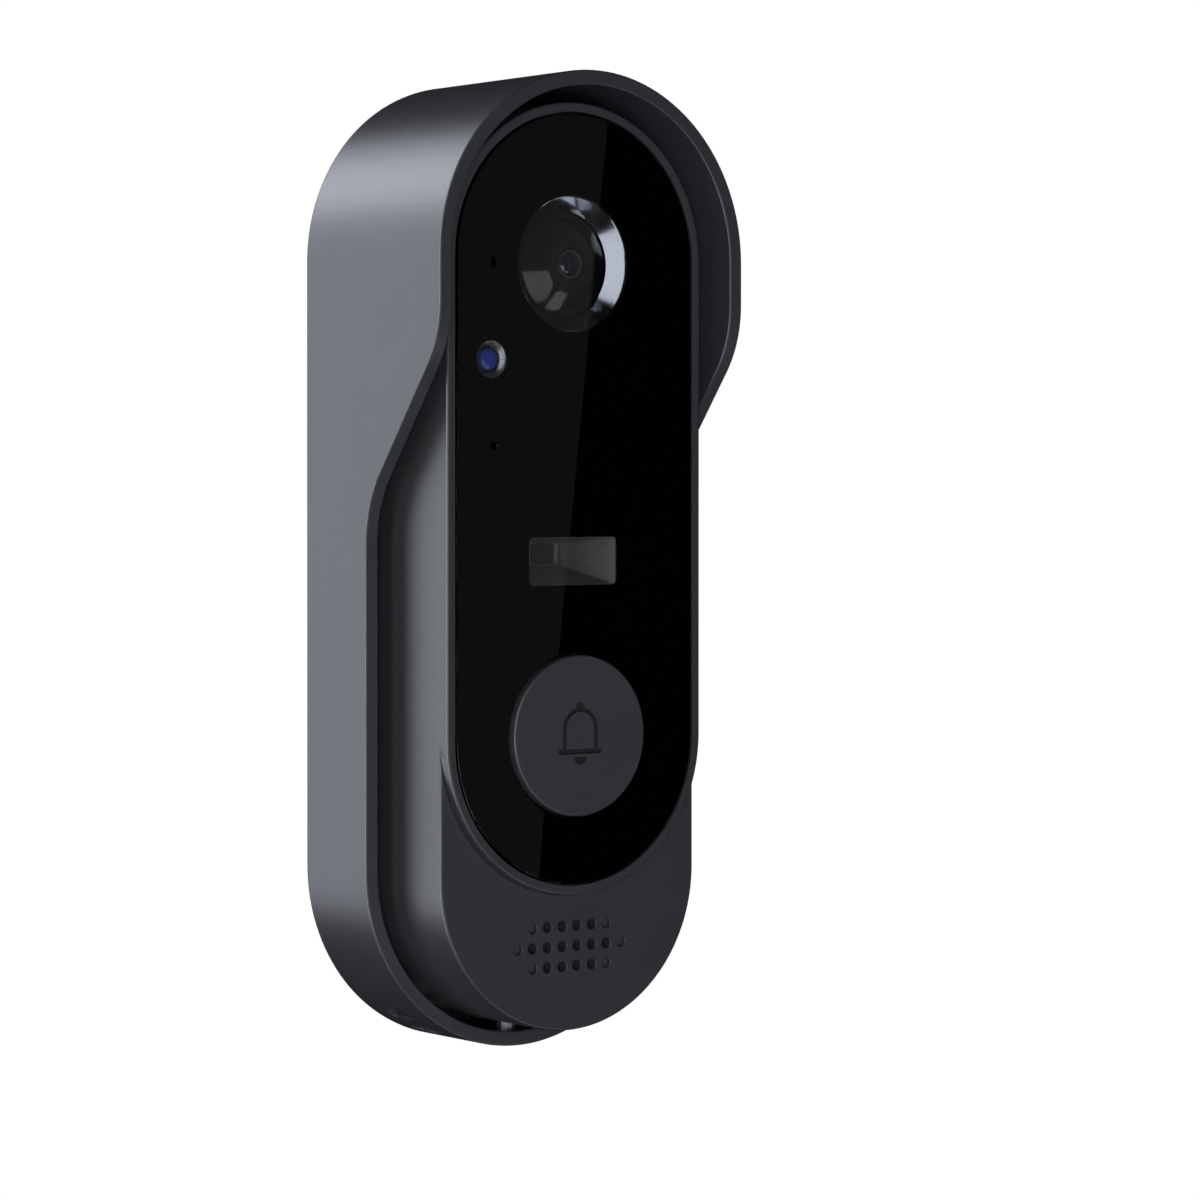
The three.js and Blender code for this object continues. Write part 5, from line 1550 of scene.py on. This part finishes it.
@dataclass(frozen=True)
class Studio:
    """Pale floor well below the doorbell, a white surround, soft lights and the camera."""

    floor_drop: float = 1.15
    floor_radius: float = 1.35
    surround: float = 0.004
    azimuth: float = -36.476
    elevation: float = 0.419
    distance: float = 0.5903
    aim: tuple[float, float, float] = (0.0, -0.030864, 0.00905)
    lens: float = 120.77
    shift: tuple[float, float] = (0.0195, -0.0806)
    boxes: tuple[Softbox, ...] = (
        Softbox("rear_wall", (-0.66, 0.85, 0.16), (0, 0, 0), (0.7, 1.3), 2.9, Reach.ALL, BLUISH),
        Softbox("rear_high", (-0.31, 0.78, 0.53), (0, 0, 0), (0.45, 0.4), 4.6, Reach.ALL, BLUISH),
        Softbox("left_strip", (-1.0, 0.02, 0.1), (0, 0, 0), (0.32, 1.8), 16.0, Reach.SHINE, COOL),
        Softbox("left_front", (-0.87, -0.49, 0.0), (0, 0, 0), (0.4, 3.4), 1.3, Reach.SHINE, COOL),
        Softbox("low_left", (-0.28, -0.86, -0.41), (0, 0, 0), (0.75, 0.68), 1.3, Reach.SHINE, COOL),
        Softbox("low_front", (0.34, -0.64, -0.69), (0, 0, 0), (0.34, 0.4), 1.5, Reach.SHINE),
        Softbox("front_fill", (-0.45, -0.95, -0.1), (0, 0, 0), (0.8, 0.8), 3.6, Reach.FILL, COOL),
        Softbox(
            "glass_sheen", (0.4855, -0.7907, 0.004), (-0.003, -0.03085, 0.008), (0.12, 0.6), 0.11,
            Reach.SHINE, roll=-5.4,
        ),
    )

    def lay_floor(self) -> None:
        """Makes the pale floor."""
        mesh = bmesh.new()
        bmesh.ops.create_circle(mesh, cap_ends=True, radius=self.floor_radius, segments=96)
        bmesh.ops.translate(mesh, vec=(0, 0, -self.floor_drop), verts=mesh.verts)
        data = bpy.data.meshes.new("floor")
        mesh.to_mesh(data)
        mesh.free()
        data.materials.append(Moulded("floor_paint", (0.8, 0.8, 0.8), 0.8, grain=2.0, mottle=0.01).material())
        floor = bpy.data.objects.new("floor", data)
        bpy.context.scene.collection.objects.link(floor)
        floor.visible_glossy = False
        floor.visible_transmission = False

    def paint_surround(self) -> None:
        """Makes the surround white to look at and dim as a light."""
        world = bpy.data.worlds.new("surround")
        world.use_nodes = True
        tree = world.node_tree
        tree.nodes.clear()
        seen = tree.nodes.new("ShaderNodeBackground")
        lit = tree.nodes.new("ShaderNodeBackground")
        seen.inputs["Color"].default_value = (1, 1, 1, 1)
        lit.inputs["Color"].default_value = (self.surround,) * 3 + (1,)
        path = tree.nodes.new("ShaderNodeLightPath")
        mix = tree.nodes.new("ShaderNodeMixShader")
        out = tree.nodes.new("ShaderNodeOutputWorld")
        tree.links.new(path.outputs["Is Camera Ray"], mix.inputs["Fac"])
        tree.links.new(lit.outputs["Background"], mix.inputs[1])
        tree.links.new(seen.outputs["Background"], mix.inputs[2])
        tree.links.new(mix.outputs["Shader"], out.inputs["Surface"])
        bpy.context.scene.world = world

    def set_camera(self) -> None:
        """Places the camera."""
        turn, tilt = math.radians(self.azimuth), math.radians(self.elevation)
        back = Vector((math.sin(turn) * math.cos(tilt), -math.cos(turn) * math.cos(tilt), math.sin(tilt)))
        data = bpy.data.cameras.new("camera")
        data.sensor_width = 36
        data.lens = self.lens
        data.shift_x, data.shift_y = self.shift
        camera = bpy.data.objects.new("camera", data)
        camera.location = Vector(self.aim) + back * self.distance
        camera.rotation_mode = "QUATERNION"
        camera.rotation_quaternion = (-back).to_track_quat("-Z", "Y")
        bpy.context.scene.collection.objects.link(camera)
        bpy.context.scene.camera = camera

    def set_up(self) -> None:
        """Sets up the floor, the surround, the lights and the camera."""
        self.set_camera()
        self.lay_floor()
        self.paint_surround()
        for box in self.boxes:
            box.hang()
        bpy.context.scene.view_settings.view_transform = "Standard"


# ---------------------------------------------------------------- the doorbell


def main() -> None:
    """Builds the doorbell's looks round the frame."""
    logging.basicConfig(level=logging.INFO, format="%(message)s")
    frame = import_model()
    Studio().set_up()
    button = PushButton()
    glass = FrontGlass()
    camera = CameraFront()
    sensor = LightSensor()
    pieces = [
        RainHood().build(button.box.middle.z),
        FrontHousing().build(),
        glass.build_glass(),
        glass.build_print(),
        camera.build_ring(),
        camera.build_dome(),
        camera.build_barrel(),
        camera.build_element(),
        sensor.build_ring(),
        sensor.build_lens(),
        button.build(),
        button.build_painted_shade(),
    ]
    for piece in pieces:
        log.info("%s: %d faces", piece.name, len(piece.data.polygons))
    log.info("packed pieces dressed: %d", KeptPieces().dress(frame["nodes"]))


if __name__ == "__main__":
    main()
